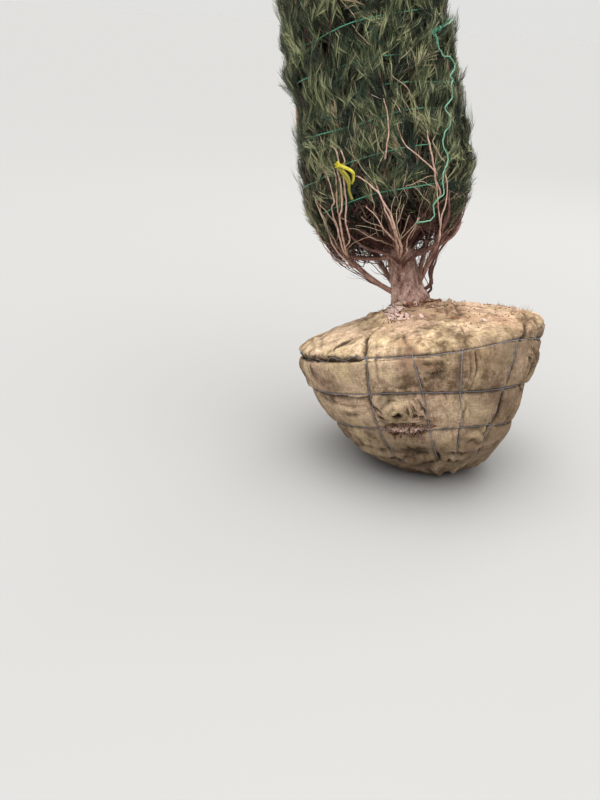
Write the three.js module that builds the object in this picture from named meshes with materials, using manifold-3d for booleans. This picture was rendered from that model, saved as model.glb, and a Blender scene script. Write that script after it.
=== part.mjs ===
// A young white pine, dug with its root ball, wrapped in burlap and tied up for moving.
// Millimetres, +Z up, front at -Y. The origin is on the level ground, in the middle of the
// flat patch that the leaning root ball stands on. Everything but that flat patch is laid
// out up the tree's own leaning axis: a height is measured up that axis from the collar,
// where the trunk's flare begins, and a turn is an azimuth in degrees, 0 to the right,
// -90 to the front.

import * as THREE from "three";
import { mergeVertices } from "three/addons/utils/BufferGeometryUtils.js";
import Module from "manifold-3d";

const wasm = await Module();
wasm.setup();

// Driving dimensions
const BALL_RADIUS = 455; // root ball, at its shoulder
const SHOULDER_HEIGHT = 470; // from where the axis meets the ground to the shoulder
const DOME_HEIGHT = 145; // from the shoulder to the ball's top
const COLLAR_HEIGHT = 645; // from where the axis meets the ground to the collar
const FOOT_DEPTH = 26; // how far the round bottom of the ball is pressed flat
const BURLAP = 4; // the folded wrap's thickness
const OPENING_RADIUS = 96; // the opening of the wrap round the trunk
const TWINE_RADIUS = 5; // the lacing round the ball
const TREE_HEIGHT = 2750; // from the collar to the top of the crown
const CROWN_RADIUS = 316; // the tied crown, at its widest
const TRUNK_RADIUS = 50; // above its flare
const FLARE = 17; // what the flare adds to that radius at the collar
const SEAT_DEPTH = 70; // how far below the collar the trunk's flat cut sits in the soil
const LEAN_LEFT = 11.7; // degrees, towards -X
const LEAN_BACK = 15; // degrees, towards +Y
const AXIS_ON_GROUND = new THREE.Vector2(9, -97); // where the tree's axis meets the ground

// Clearances
const GAP = 0.4; // between pieces that touch
const MASS_GAP = 12; // between neighbouring masses of needles

const radians = THREE.MathUtils.degToRad;
const mix = THREE.MathUtils.lerp;

const LEAN_AXIS = new THREE.Vector3(
  -Math.tan(radians(LEAN_LEFT)),
  Math.tan(radians(LEAN_BACK)),
  1,
).normalize();

const MATERIALS = {
  soil: { color: 0x6b4630, roughness: 1.0 },
  burlap: { color: 0xa58f5e, roughness: 0.95 },
  bark: { color: 0x6d5548, roughness: 0.9 },
  stem: { color: 0x9a7a68, roughness: 0.85 },
  needles: { color: 0x3c4a2c, roughness: 0.75 },
  twine: { color: 0x7c8490, roughness: 0.8 },
};
for (const name of Object.keys(MATERIALS)) {
  MATERIALS[name] = new THREE.MeshStandardMaterial({ ...MATERIALS[name], metalness: 0 });
}

// A closed three.js geometry as a solid that can be cut.
function solidOf(geometry) {
  const bare = new THREE.BufferGeometry();
  bare.setAttribute("position", geometry.getAttribute("position"));
  bare.setIndex(geometry.getIndex());
  const merged = mergeVertices(bare, 1e-3);
  return new wasm.Manifold(
    new wasm.Mesh({
      numProp: 3,
      vertProperties: merged.attributes.position.array,
      triVerts: new Uint32Array(merged.index.array),
    }),
  );
}

function geometryOf(solid) {
  const mesh = solid.getMesh();
  const geometry = new THREE.BufferGeometry();
  geometry.setAttribute("position", new THREE.BufferAttribute(mesh.vertProperties, 3));
  geometry.setIndex(new THREE.BufferAttribute(mesh.triVerts, 1));
  return geometry;
}

function meshOf(name, solid, material) {
  const mesh = new THREE.Mesh(geometryOf(solid), MATERIALS[material]);
  mesh.name = name;
  return mesh;
}

// Moves every vertex of a geometry by a rule.
function reshape(geometry, rule) {
  const at = geometry.getAttribute("position");
  const point = new THREE.Vector3();
  for (let i = 0; i < at.count; i++) {
    rule(point.fromBufferAttribute(at, i));
    at.setXYZ(i, point.x, point.y, point.z);
  }
  return geometry;
}

// A sum of sine waves over an angle and a second measure.
function waves(list, angle, along) {
  return list.reduce(
    (sum, { by, times, rate, shift }) => sum + by * Math.sin(times * angle + rate * along + shift),
    0,
  );
}

// The trunk's centre line sweeps a little to the left above the collar.
const SWEEP = 46;
const SWEEP_WITHIN = 380;
const WAVER = 9; // to the back and the front of that
const WAVER_OVER = 420;
function trunkCentre(height) {
  const up = Math.max(height, 0);
  const left = SWEEP * (1 - Math.exp(-up / SWEEP_WITHIN));
  return new THREE.Vector3(-left, WAVER * Math.sin(up / WAVER_OVER), height);
}

const TRUNK_TOP = TREE_HEIGHT - 60;
const TRUNK_END = TREE_HEIGHT + 90; // where its taper would come to nothing
const TRUNK_TAPER = 0.85;
const FLARE_WITHIN = 60;
function trunkRadius(height) {
  const up = Math.max(height, 0);
  const taper = Math.pow(1 - up / TRUNK_END, TRUNK_TAPER);
  return TRUNK_RADIUS * taper + FLARE * Math.exp(-up / FLARE_WITHIN);
}

// The outline of the tied crown: a bowl at the foot, tucked in at the right, and a long taper
// to the leader.
const WIDEST_AT = 620;
const BOWL_OF_CROWN = 720; // from there down to where its outline would close
const BOWL_ROUNDNESS = 3.2;
const CROWN_END = TREE_HEIGHT + 40;
const CROWN_TAPER = 2.3;
const TUCK_BELOW = 450;
const TUCK_TURN = radians(-10);
function crownRadius(height, angle) {
  if (height < WIDEST_AT) {
    const bowl = 1 - Math.pow((WIDEST_AT - height) / BOWL_OF_CROWN, BOWL_ROUNDNESS);
    const depth = Math.max(1 - height / TUCK_BELOW, 0);
    const tuck = depth * depth * Math.max(Math.cos(angle - TUCK_TURN), 0);
    return CROWN_RADIUS * bowl * (1 - tuck);
  }
  const above = Math.min((height - WIDEST_AT) / (CROWN_END - WIDEST_AT), 1);
  return CROWN_RADIUS * (1 - Math.pow(above, CROWN_TAPER));
}

// A limb is a cylinder bent along its path, with a radius for each share of its length. The
// room that others leave for it is wider by a clearance, and longer at both ends.
function limb(path, radiusAt, steps, sides, clearance = 0, lobes = () => 1) {
  const frames = path.computeFrenetFrames(steps, false);
  const cylinder = new THREE.CylinderGeometry(1, 1, 1, sides, steps);
  return reshape(cylinder, (p) => {
    const share = p.y + 0.5;
    const ring = Math.round(share * steps);
    const radius = radiusAt(share) * lobes(Math.atan2(p.z, p.x), share) + clearance;
    const beyond = ring === 0 ? -clearance : ring === steps ? clearance : 0;
    const across = frames.normals[ring].clone().multiplyScalar(p.x * radius);
    const along = frames.binormals[ring].clone().multiplyScalar(-p.z * radius);
    p.copy(path.getPointAt(share)).add(across).add(along);
    p.addScaledVector(frames.tangents[ring], beyond);
  });
}

// Trunk
const TRUNK_SIDES = 10;
const TRUNK_STEPS = 16;
const STEPS_TO_COLLAR = 1.5; // above 1, more of the steps are near the collar
const LOBES = { count: 5, depth: 0.1, within: 150, shift: 0.7 };
class TrunkLine extends THREE.Curve {
  getPoint(share) {
    return trunkCentre(mix(-SEAT_DEPTH, TRUNK_TOP, Math.pow(share, STEPS_TO_COLLAR)));
  }
  getPointAt(share) {
    return this.getPoint(share);
  }
  getTangentAt(share) {
    return this.getTangent(share);
  }
}
function trunkSolid(clearance) {
  const line = new TrunkLine();
  const radiusAt = (share) => trunkRadius(line.getPoint(share).z);
  const lobes = (angle, share) => {
    const aboveCut = line.getPoint(share).z + SEAT_DEPTH;
    const depth = LOBES.depth * Math.exp(-aboveCut / LOBES.within);
    return 1 + depth * Math.cos(LOBES.count * angle + LOBES.shift);
  };
  return solidOf(limb(line, radiusAt, TRUNK_STEPS, TRUNK_SIDES, clearance, lobes));
}
const trunk = trunkSolid(0);
const trunkRoom = trunkSolid(GAP);

// Boughs
const BOUGH_SIDES = 5;
const BOUGH_STEPS = 7;
const THINNEST = 0.45; // a bough's radius at its tip, as a share of that at the trunk
const FRONT_TURN = -95;
const FRONT_RISE = 75; // how much higher those at the front leave the trunk
const FRONT_PATH = { rise: 1.1, swell: 1.7 };
const WEAVE = 2.2; // degrees
// A bough leaves the trunk, bends up inside the ties and ends in its mass of needles.
// It runs up at its own distance from the trunk and turns out, or in, to its tip. Those at
// the front leave the trunk higher and more steeply, so that the trunk shows, and those at
// the right stay nearer the trunk than those at the left.
class BoughLine extends THREE.Curve {
  constructor({ from, to, turn, run, tip, rise, swell }) {
    super();
    const angle = radians(turn);
    const frontness = Math.pow(Math.max(Math.cos(angle - radians(FRONT_TURN)), 0), 2);
    Object.assign(this, { from: from + FRONT_RISE * frontness, to, turn, run, tip });
    this.rise = mix(rise - 0.085 * Math.cos(angle), FRONT_PATH.rise, frontness);
    this.swell = mix(swell - 0.3 * Math.cos(angle), FRONT_PATH.swell, frontness);
  }
  getPoint(share) {
    const height = mix(this.from, this.to, Math.pow(share, this.rise));
    const out =
      this.run * (1 - Math.pow(1 - share, this.swell)) +
      (this.tip - this.run) * Math.pow(share, 5);
    const angle = radians(this.turn + WEAVE * Math.sin(share * 7 + this.turn));
    const centre = trunkCentre(height);
    return centre.add(new THREE.Vector3(out * Math.cos(angle), out * Math.sin(angle), 0));
  }
}
function boughSolid(bough, clearance) {
  const radiusAt = (share) => bough.radius * mix(1, THINNEST, Math.pow(share, 0.9));
  return solidOf(limb(new BoughLine(bough), radiusAt, BOUGH_STEPS, BOUGH_SIDES, clearance));
}

// Masses of needles
// Each tier is a ring of masses between two uneven edges, and each mass is fed by one bough.
const TIERS = [
  { name: "skirt", masses: 5, turn: -64 },
  { name: "lower", masses: 5, turn: -100 },
  { name: "middle", masses: 4, turn: -60 },
  { name: "upper", masses: 4, turn: -100 },
  { name: "high", masses: 3, turn: -70 },
];
const EDGES = [262, 690, 1150, 1600, 2010, 2390];
const EDGE_WAVES = [
  { by: 24, times: 2, rate: 1.7, shift: 0 },
  { by: 13, times: 5, rate: 2.9, shift: 0 },
];
const FRONT_OPENING = 95; // how much higher the needles start at the front
const OPENING_SHIFT = 0.1; // radians, to the left of the very front
function edgeHeight(edge, angle) {
  const facing = Math.max(-Math.sin(angle + OPENING_SHIFT), 0);
  const opened = edge ? 0 : FRONT_OPENING * facing * facing;
  return EDGES[edge] + waves(EDGE_WAVES, angle, edge) + opened;
}
const LUMPS = [
  { by: 0.035, times: 3, rate: 1 / 190, shift: 0 },
  { by: 0.025, times: 5, rate: -1 / 110, shift: 1 },
  { by: 0.02, times: 2, rate: 1 / 62, shift: 0 },
];
function outline(angle, height) {
  return crownRadius(height, angle) * (1 + waves(LUMPS, angle, height));
}
// The hollow round the trunk is wider at the back left, where the crown overhangs its foot.
const HOLLOW = 0.47;
const HOLLOW_SHIFT = 0.13;
const OVERHANG_TURN = radians(128);
function hollowRadius(angle, height) {
  const share = HOLLOW + HOLLOW_SHIFT * Math.cos(angle - OVERHANG_TURN);
  return crownRadius(height, angle) * share;
}
const MASS_SIDES = 10;
const MASS_RINGS = 7;
const SQUARENESS = 0.7;
function massSolid(tier, index) {
  const { masses, turn } = TIERS[tier];
  const middle = radians(turn + (index * 360) / masses);
  const ball = new THREE.SphereGeometry(1, MASS_SIDES, MASS_RINGS);
  reshape(ball, (p) => {
    const widest = Math.max(Math.abs(p.x), Math.abs(p.y), Math.abs(p.z));
    p.multiplyScalar(Math.pow(1 / widest, SQUARENESS));
    const share = (p.y + 1) / 2;
    const rough = mix(EDGES[tier], EDGES[tier + 1], share);
    const halfAngle = Math.PI / masses - MASS_GAP / 2 / crownRadius(rough, middle);
    const angle = middle + p.x * halfAngle;
    const low = edgeHeight(tier, angle) + MASS_GAP / 2;
    const high = edgeHeight(tier + 1, angle) - MASS_GAP / 2;
    const height = mix(low, high, share);
    const out = mix(hollowRadius(angle, height), outline(angle, height), (p.z + 1) / 2);
    p.copy(trunkCentre(height));
    p.x += out * Math.cos(angle);
    p.y += out * Math.sin(angle);
  });
  return solidOf(ball);
}
const TIP_RADIUS = 22;
function tipSolid() {
  const ball = new THREE.SphereGeometry(1, MASS_SIDES, MASS_RINGS);
  reshape(ball, (p) => {
    const share = (p.y + 1) / 2;
    const level = Math.hypot(p.x, p.z);
    const angle = level > 1e-6 ? Math.atan2(p.z, -p.x) : 0;
    const low = edgeHeight(TIERS.length, angle) + MASS_GAP / 2;
    const height = mix(low, TREE_HEIGHT, Math.pow(share, 0.9));
    const out = Math.max(outline(angle, height), TIP_RADIUS) * Math.pow(level, SQUARENESS);
    p.copy(trunkCentre(height));
    p.x += out * Math.cos(angle);
    p.y += out * Math.sin(angle);
  });
  return solidOf(ball);
}

// What feeds each tier: the trunk height that its boughs leave at and how far their starts are
// staggered, their radius there, how far out they run and turn to, as shares of the crown's
// radius, how deep their tips sit in the mass, and how fast they rise and swell out.
const FEEDS = [
  {
    name: "second", from: 150, stagger: 28, radius: 10,
    run: 0.88, tip: 0.8, deep: 100, rise: 1.75, swell: 3.4,
  },
  {
    name: "lowest", from: -20, stagger: 22, radius: 11,
    run: 0.985, tip: 0.9, deep: 75, rise: 1.115, swell: 2.7,
  },
  {
    name: "third", from: 455, stagger: 25, radius: 10,
    run: 0.31, tip: 0.7, deep: 110, rise: 1.75, swell: 3.4,
  },
  {
    name: "fourth", from: 850, stagger: 25, radius: 9.5,
    run: 0.29, tip: 0.7, deep: 110, rise: 1.75, swell: 3.4,
  },
  {
    name: "fifth", from: 1270, stagger: 22, radius: 9,
    run: 0.3, tip: 0.72, deep: 110, rise: 1.75, swell: 3.4,
  },
];
const SIDES_BY_COUNT = {
  5: ["front", "right", "back_right", "back_left", "left"],
  4: ["front", "right", "back", "left"],
  3: ["front", "back_right", "back_left"],
};

const boughs = [];
TIERS.forEach((tier, t) => {
  const feed = FEEDS[t];
  SIDES_BY_COUNT[tier.masses].forEach((side, index) => {
    const turn = tier.turn + (index * 360) / tier.masses;
    const to = edgeHeight(t, radians(turn)) + feed.deep;
    const wide = crownRadius(to, radians(turn));
    boughs.push({
      name: "bough_" + feed.name + "_" + side,
      from: feed.from + feed.stagger * (((index * 2) % tier.masses) / tier.masses),
      to,
      turn,
      run: wide * feed.run,
      tip: wide * feed.tip,
      radius: feed.radius,
      rise: feed.rise,
      swell: feed.swell,
    });
  });
});

const tree = new THREE.Group();
tree.add(meshOf("trunk", trunk, "bark"));
let limbRoom = trunkRoom;
for (const bough of boughs) {
  const solid = boughSolid(bough, 0).subtract(trunkRoom);
  tree.add(meshOf(bough.name, solid, "stem"));
  limbRoom = limbRoom.add(boughSolid(bough, GAP));
}
TIERS.forEach((tier, t) => {
  SIDES_BY_COUNT[tier.masses].forEach((side, index) => {
    const solid = massSolid(t, index).subtract(limbRoom);
    tree.add(meshOf("needles_" + tier.name + "_" + side, solid, "needles"));
  });
});
tree.add(meshOf("needles_tip", tipSolid().subtract(limbRoom), "needles"));

// The tree leans back and to the left, and its axis meets the ground right of the origin.
tree.quaternion.setFromUnitVectors(new THREE.Vector3(0, 0, 1), LEAN_AXIS);
tree.position
  .set(AXIS_ON_GROUND.x, AXIS_ON_GROUND.y, 0)
  .addScaledVector(LEAN_AXIS, COLLAR_HEIGHT);
tree.updateMatrixWorld(true);
const leaned = (solid) => solid.transform(tree.matrixWorld.elements);

// Root ball: a bowl under a low dome, uneven, with its round bottom pressed flat
const BALL_SEGMENTS = 24;
const BOWL_STEPS = 6;
const DOME_STEPS = 4;
const BALL_OFFSET = 22; // the ball's middle is right of the trunk
const BALL_SLUMP = 52; // and its bottom is right of that
const RIGHT_LIFT = 20; // how much higher its right side is
const RIGHT_TUCK = 0.17; // share by which that side is drawn in below
const TUCK_REACH = 0.55; // share of the bowl's depth by which it is drawn in fully
const SHOULDER = SHOULDER_HEIGHT - COLLAR_HEIGHT;
const BOWL_DEPTH = SHOULDER_HEIGHT + FOOT_DEPTH;
const BOWL_POWERS = [2 / 2.3, 2 / 1.6]; // of its radius and depth, as a superellipse
const DOME_POWERS = [2 / 1.45, 2 / 1.5];
const BALL_WAVES = [
  { by: 0.016, times: 2, rate: 0, shift: 0.9 },
  { by: 0.012, times: 3, rate: 4, shift: 0 },
  { by: 0.008, times: 7, rate: 0, shift: 0 },
];
// The place on the ball for a share from -1, at its bottom, by 0, its shoulder, to 1, its top.
function ballPoint(share, angle, outset = 0) {
  const turn = (Math.abs(share) * Math.PI) / 2;
  const [radiusPower, heightPower] = share < 0 ? BOWL_POWERS : DOME_POWERS;
  const tall = (share < 0 ? -BOWL_DEPTH : DOME_HEIGHT) + Math.sign(share) * outset;
  const atPole = Math.abs(share) > 0.9999;
  const wide = atPole ? 0 : (BALL_RADIUS + outset) * Math.pow(Math.cos(turn), radiusPower);
  const out = wide * (1 + waves(BALL_WAVES, angle, share));
  const lift = tall * Math.pow(Math.sin(turn), heightPower);
  const depth = Math.max(-lift / BOWL_DEPTH, 0);
  const slump = BALL_SLUMP * depth;
  const drawnIn = RIGHT_TUCK * THREE.MathUtils.smoothstep(depth, 0, TUCK_REACH);
  const x = out * Math.cos(angle) * (1 - drawnIn * Math.max(Math.cos(angle), 0));
  return new THREE.Vector3(
    x + BALL_OFFSET + slump,
    out * Math.sin(angle),
    SHOULDER + lift + RIGHT_LIFT * Math.pow(Math.max(x / BALL_RADIUS, 0), 2),
  );
}
function ballGeometry(outset) {
  const points = [];
  for (let i = -BOWL_STEPS; i <= 0; i++) {
    points.push(new THREE.Vector2(i === -BOWL_STEPS ? 0 : 1, i / BOWL_STEPS));
  }
  for (let i = 1; i <= DOME_STEPS; i++) {
    points.push(new THREE.Vector2(i === DOME_STEPS ? 0 : 1, i / DOME_STEPS));
  }
  const lathe = new THREE.LatheGeometry(points, BALL_SEGMENTS).rotateX(Math.PI / 2);
  return reshape(lathe, (p) => p.copy(ballPoint(p.z, Math.atan2(p.y, p.x), outset)));
}
// Takes away whatever of a leaned solid is below a floor.
const BLOCK = 3000;
function onGround(solid, floor) {
  const below = new THREE.BoxGeometry(BLOCK, BLOCK, BLOCK).translate(0, 0, floor - BLOCK / 2);
  return leaned(solid).subtract(solidOf(below));
}
const OPENING_SIDES = 16;
const opening = new THREE.CylinderGeometry(
  OPENING_RADIUS,
  OPENING_RADIUS,
  2 * SEAT_DEPTH,
  OPENING_SIDES,
).rotateX(Math.PI / 2);
// a torn place low at the front, where the soil shows
const TEAR = { share: -0.37, turn: -106, across: 78, up: 21, deep: 40 };
const tearAt = ballPoint(TEAR.share, radians(TEAR.turn));
const tear = new THREE.SphereGeometry(1, 10, 6)
  .scale(TEAR.deep, TEAR.across, TEAR.up)
  .rotateZ(radians(TEAR.turn))
  .translate(tearAt.x, tearAt.y, tearAt.z);
const wrap = onGround(solidOf(ballGeometry(0)), 0)
  .subtract(onGround(solidOf(ballGeometry(-BURLAP)), BURLAP))
  .subtract(leaned(solidOf(opening)))
  .subtract(leaned(solidOf(tear)));
const soil = onGround(solidOf(ballGeometry(-BURLAP - GAP)), BURLAP + GAP).subtract(
  leaned(trunkRoom),
);

// Lacing: rings of twine round the ball and uprights across them
// Each ring's share, as in ballPoint, and what that changes by towards the right and the back
const RINGS = [
  { share: -0.02, right: -0.1, back: -0.085 },
  { share: -0.265, right: -0.057, back: -0.036 },
  { share: -0.455, right: -0.049, back: -0.028 },
];
// Each upright's turn at the shoulder and its drift, in degrees, down to the lowest ring
const UPRIGHTS = [
  { turn: -119.5, drift: -9 },
  { turn: -98, drift: -1.5 },
  { turn: -77, drift: -7 },
  { turn: -47, drift: -13 },
  { turn: -16, drift: -5 },
  { turn: 20, drift: 2 },
  { turn: 55, drift: 6 },
  { turn: 88, drift: 7 },
  { turn: 122, drift: 6 },
  { turn: 156, drift: 3 },
  { turn: 190, drift: -2 },
];
const UPRIGHT_ROWS = [4, 2]; // of the wrap's rows, below and above its shoulder
const TWINE_SIDES = 3;
const FACET_ROOM = 2.4; // for the wrap's flat faces to stay inside the twine
const TWINE_OUTSET = TWINE_RADIUS + GAP + FACET_ROOM;
const LACING_FOOT = 10; // above the ground
class UprightLine extends THREE.Curve {
  constructor({ turn, drift }) {
    super();
    Object.assign(this, { turn, drift });
  }
  getPoint(share) {
    const [below, above] = UPRIGHT_ROWS;
    const row = share * (below + above) - below;
    const place = row / (row < 0 ? BOWL_STEPS : DOME_STEPS);
    const down = Math.max(place / RINGS[2].share, 0);
    return ballPoint(place, radians(this.turn + this.drift * down), TWINE_OUTSET);
  }
  getPointAt(share) {
    return this.getPoint(share);
  }
}
function ringSolid({ share, right, back }) {
  const loop = new THREE.TorusGeometry(BALL_RADIUS, TWINE_RADIUS, TWINE_SIDES, BALL_SEGMENTS);
  return solidOf(
    reshape(loop, (p) => {
      const angle = Math.atan2(p.y, p.x);
      const tilted = share + right * Math.cos(angle) + back * Math.sin(angle);
      const beyond = Math.hypot(p.x, p.y) - BALL_RADIUS;
      const up = p.z;
      p.copy(ballPoint(tilted, angle, TWINE_OUTSET));
      p.x += beyond * Math.cos(angle);
      p.y += beyond * Math.sin(angle);
      p.z += up;
    }),
  );
}
function uprightSolid(place) {
  const steps = UPRIGHT_ROWS[0] + UPRIGHT_ROWS[1];
  return solidOf(limb(new UprightLine(place), () => TWINE_RADIUS, steps, TWINE_SIDES));
}
const twines = [...RINGS.map(ringSolid), ...UPRIGHTS.map(uprightSolid)];
const lacing = onGround(twines.reduce((all, twine) => all.add(twine)), LACING_FOOT);

const sapling = new THREE.Group();
sapling.add(meshOf("burlap_wrap", wrap, "burlap"));
sapling.add(meshOf("root_ball_soil", soil, "soil"));
sapling.add(meshOf("burlap_lacing", lacing, "twine"));
sapling.add(tree);

export default sapling;
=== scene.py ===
"""A young white pine with a burlapped root ball, tied up for moving, on a pale studio floor."""

import math

import bmesh
import bpy
import numpy as np
from mathutils import Matrix


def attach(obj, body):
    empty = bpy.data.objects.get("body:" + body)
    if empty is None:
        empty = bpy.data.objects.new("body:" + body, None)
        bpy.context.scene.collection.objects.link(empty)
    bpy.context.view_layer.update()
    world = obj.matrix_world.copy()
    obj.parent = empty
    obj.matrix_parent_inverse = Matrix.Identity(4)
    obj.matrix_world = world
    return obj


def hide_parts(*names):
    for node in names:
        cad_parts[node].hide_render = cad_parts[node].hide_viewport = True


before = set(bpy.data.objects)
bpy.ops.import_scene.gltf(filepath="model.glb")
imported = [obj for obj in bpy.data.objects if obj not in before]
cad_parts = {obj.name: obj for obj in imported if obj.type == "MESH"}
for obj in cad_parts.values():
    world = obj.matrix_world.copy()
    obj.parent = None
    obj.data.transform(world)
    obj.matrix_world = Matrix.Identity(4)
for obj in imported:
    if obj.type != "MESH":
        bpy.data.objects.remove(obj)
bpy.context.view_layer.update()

TAU = 2 * math.pi
UP = np.array([0, 0, 1.0])
FAR = 9.0  # metres: beyond anything on the tree

# Sizes in metres, as in the CAD
BALL_RADIUS = 0.455
SHOULDER_HEIGHT = 0.470
COLLAR_HEIGHT = 0.645
FOOT_DEPTH = 0.026
BALL_OFFSET = 0.022
BALL_SLUMP = 0.052
RIGHT_TUCK = 0.17
TUCK_REACH = 0.55
TREE_HEIGHT = 2.750
CROWN_RADIUS = 0.316
WIDEST_AT = 0.620
BOWL_OF_CROWN = 0.720
TRUNK_RADIUS = 0.050
FLARE = 0.017
SEAT_DEPTH = 0.070
LEAN_LEFT = 11.7
LEAN_BACK = 15.0
AXIS_ON_GROUND = (0.009, -0.097)
DOME_HEIGHT = 0.145
TUCK_BELOW = 0.450
TUCK_TURN = math.radians(-10)
SHOULDER = SHOULDER_HEIGHT - COLLAR_HEIGHT
BOWL = SHOULDER_HEIGHT + FOOT_DEPTH
# Powers of the ball's outline, under and over its shoulder, for its width and its height
WIDTH_POWER = (2 / 2.3, 2 / 1.45)
HEIGHT_POWER = (2 / 1.6, 2 / 1.5)


def unit(v):
    v = np.asarray(v, float)
    return v / np.maximum(np.linalg.norm(v, axis=-1, keepdims=True), 1e-12)


# The tree's own frame: its origin at the collar, +Z up the leaning axis
AXIS = unit([-math.tan(math.radians(LEAN_LEFT)), math.tan(math.radians(LEAN_BACK)), 1.0])
ACROSS = np.cross(UP, AXIS)
SKEW = np.array(
    [[0, -ACROSS[2], ACROSS[1]], [ACROSS[2], 0, -ACROSS[0]], [-ACROSS[1], ACROSS[0], 0]]
)
TURN = np.eye(3) + SKEW + SKEW @ SKEW / (1 + AXIS[2])
FOOT = np.array([*AXIS_ON_GROUND, 0.0])
COLLAR = FOOT + AXIS * COLLAR_HEIGHT


def to_world(points):
    return np.asarray(points) @ TURN.T + COLLAR


class Waves:
    """Smooth seeded noise made of plane waves, about -1 to 1."""

    def __init__(self, size, seed, count=20, stretch=(1.0, 1.0, 1.0)):
        r = np.random.default_rng(seed)
        k = unit(r.normal(size=(count, 3))) * r.uniform(0.6, 1.7, (count, 1))
        self.k = k * TAU / size / np.array(stretch)
        self.phase = r.uniform(0, TAU, count)
        self.scale = math.sqrt(2 / count) * 0.7

    def __call__(self, p):
        return np.sin(np.asarray(p) @ self.k.T + self.phase).sum(-1) * self.scale


def kinks(paths, size, seed):
    """A shift for each point of some paths, about -1 to 1 each way."""
    flat = paths.reshape(-1, 3)
    return np.stack([Waves(size, seed + c)(flat) for c in range(3)], -1).reshape(paths.shape)


def ease(x, a, b):
    t = np.clip((x - a) / (b - a), 0, 1)
    return t * t * (3 - 2 * t)


def mix(a, b, t):
    return a + (b - a) * t


def gauss(x, width):
    return np.exp(-((x / width) ** 2))


def span(angle):
    """An angle brought to -pi..pi."""
    return (angle + math.pi) % TAU - math.pi


# Meshes


def mesh_piece(name, verts, faces, material, smooth=True, uv=None, attributes=None):
    """A mesh object from arrays: faces is a list of index arrays, one per face size."""
    mesh = bpy.data.meshes.new(name)
    verts = np.ascontiguousarray(verts, np.float32).reshape(-1, 3)
    mesh.vertices.add(len(verts))
    mesh.vertices.foreach_set("co", verts.ravel())
    loops = np.concatenate([np.asarray(f, np.int32).ravel() for f in faces])
    sizes = np.concatenate([np.full(len(f), f.shape[1], np.int32) for f in faces])
    starts = np.concatenate([[0], np.cumsum(sizes)[:-1]]).astype(np.int32)
    mesh.loops.add(len(loops))
    mesh.loops.foreach_set("vertex_index", loops)
    mesh.polygons.add(len(sizes))
    mesh.polygons.foreach_set("loop_start", starts)
    mesh.polygons.foreach_set("use_smooth", np.full(len(sizes), smooth))
    if uv is not None:
        layer = mesh.uv_layers.new(name="UVMap")
        layer.data.foreach_set("uv", np.asarray(uv, np.float32)[loops].ravel())
    for key, values in (attributes or {}).items():
        layer = mesh.attributes.new(key, "FLOAT", "POINT")
        layer.data.foreach_set("value", np.asarray(values, np.float32).ravel())
    mesh.update(calc_edges=True)
    mesh.validate()
    piece = bpy.data.objects.new(name, mesh)
    bpy.context.scene.collection.objects.link(piece)
    mesh.materials.append(material)
    return piece


def merge(piece, close=None):
    """Merges the points that meet, lets close work on the mesh, and faces it outwards."""
    shape = bmesh.new()
    shape.from_mesh(piece.data)
    bmesh.ops.remove_doubles(shape, verts=shape.verts, dist=1e-5)
    if close:
        close(shape)
    bmesh.ops.recalc_face_normals(shape, faces=shape.faces)
    shape.to_mesh(piece.data)
    shape.free()
    for polygon in piece.data.polygons:
        polygon.use_smooth = True
    return piece


def ring_quads(rows, columns):
    """Quads between rows of points, each row closed in a ring."""
    i = np.arange(rows - 1)[:, None] * columns
    j = np.arange(columns)[None, :]
    j2 = (j + 1) % columns
    return np.stack([i + j, i + j2, i + j2 + columns, i + j + columns], -1).reshape(-1, 4)


def end_fans(rows, columns):
    """Triangles from the first and last ring to two more points, which come after the rings."""
    j = np.arange(columns)
    j2 = (j + 1) % columns
    foot, top = np.full(columns, rows * columns), (rows - 1) * columns
    return np.concatenate(
        [np.stack([foot, j2, j], -1), np.stack([foot + 1, top + j, top + j2], -1)]
    )


def tubes(paths, radii, sides, relief=None):
    """Tapering tubes along paths (n, k, 3), radii (n, k): vertices, quads and closing fans."""
    paths = np.asarray(paths, float)
    n, k, _ = paths.shape
    tangent = unit(np.gradient(paths, axis=1))
    last = np.where(np.abs(tangent[:, 0, 2:]) < 0.9, [[0, 0, 1.0]], [[1.0, 0, 0]])
    normal = np.empty_like(paths)
    for i in range(k):
        t = tangent[:, i]
        last = unit(last - t * (last * t).sum(-1, keepdims=True))
        normal[:, i] = last
    side = np.cross(tangent, normal)
    turn = np.arange(sides) * TAU / sides
    r = np.broadcast_to(np.asarray(radii)[..., None], (n, k, sides))
    if relief is not None:
        r = r * relief(np.arange(k)[None, :, None], turn[None, None, :])
    ring = (
        normal[:, :, None] * np.cos(turn)[None, None, :, None]
        + side[:, :, None] * np.sin(turn)[None, None, :, None]
    )
    verts = (paths[:, :, None] + ring * r[..., None]).reshape(n, k * sides, 3)
    verts = np.concatenate([verts, np.stack([paths[:, 0], paths[:, -1]], 1)], 1)
    shift = (np.arange(n) * (k * sides + 2))[:, None, None]
    quads = (ring_quads(k, sides)[None] + shift).reshape(-1, 4)
    caps = (end_fans(k, sides)[None] + shift).reshape(-1, 3)
    return verts.reshape(-1, 3), quads, caps


def joined(parts):
    """Several (verts, quads, tris) as one."""
    verts, quads, tris, at = [], [], [], 0
    for v, q, t in parts:
        verts.append(v)
        quads.append(q + at)
        tris.append(t + at)
        at += len(v)
    return np.concatenate(verts), np.concatenate(quads), np.concatenate(tris)


def resample(points, count):
    """A smooth path of count points through the given ones (Catmull-Rom)."""
    p = np.asarray(points, float)
    p = np.concatenate([[2 * p[0] - p[1]], p, [2 * p[-1] - p[-2]]])
    t = np.linspace(0, len(p) - 3 - 1e-9, count)
    i = t.astype(int)
    f = (t - i)[:, None]
    a, b, c, d = p[i], p[i + 1], p[i + 2], p[i + 3]
    return 0.5 * (
        2 * b + (c - a) * f + (2 * a - 5 * b + 4 * c - d) * f**2 + (3 * b - a - 3 * c + d) * f**3
    )


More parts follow.
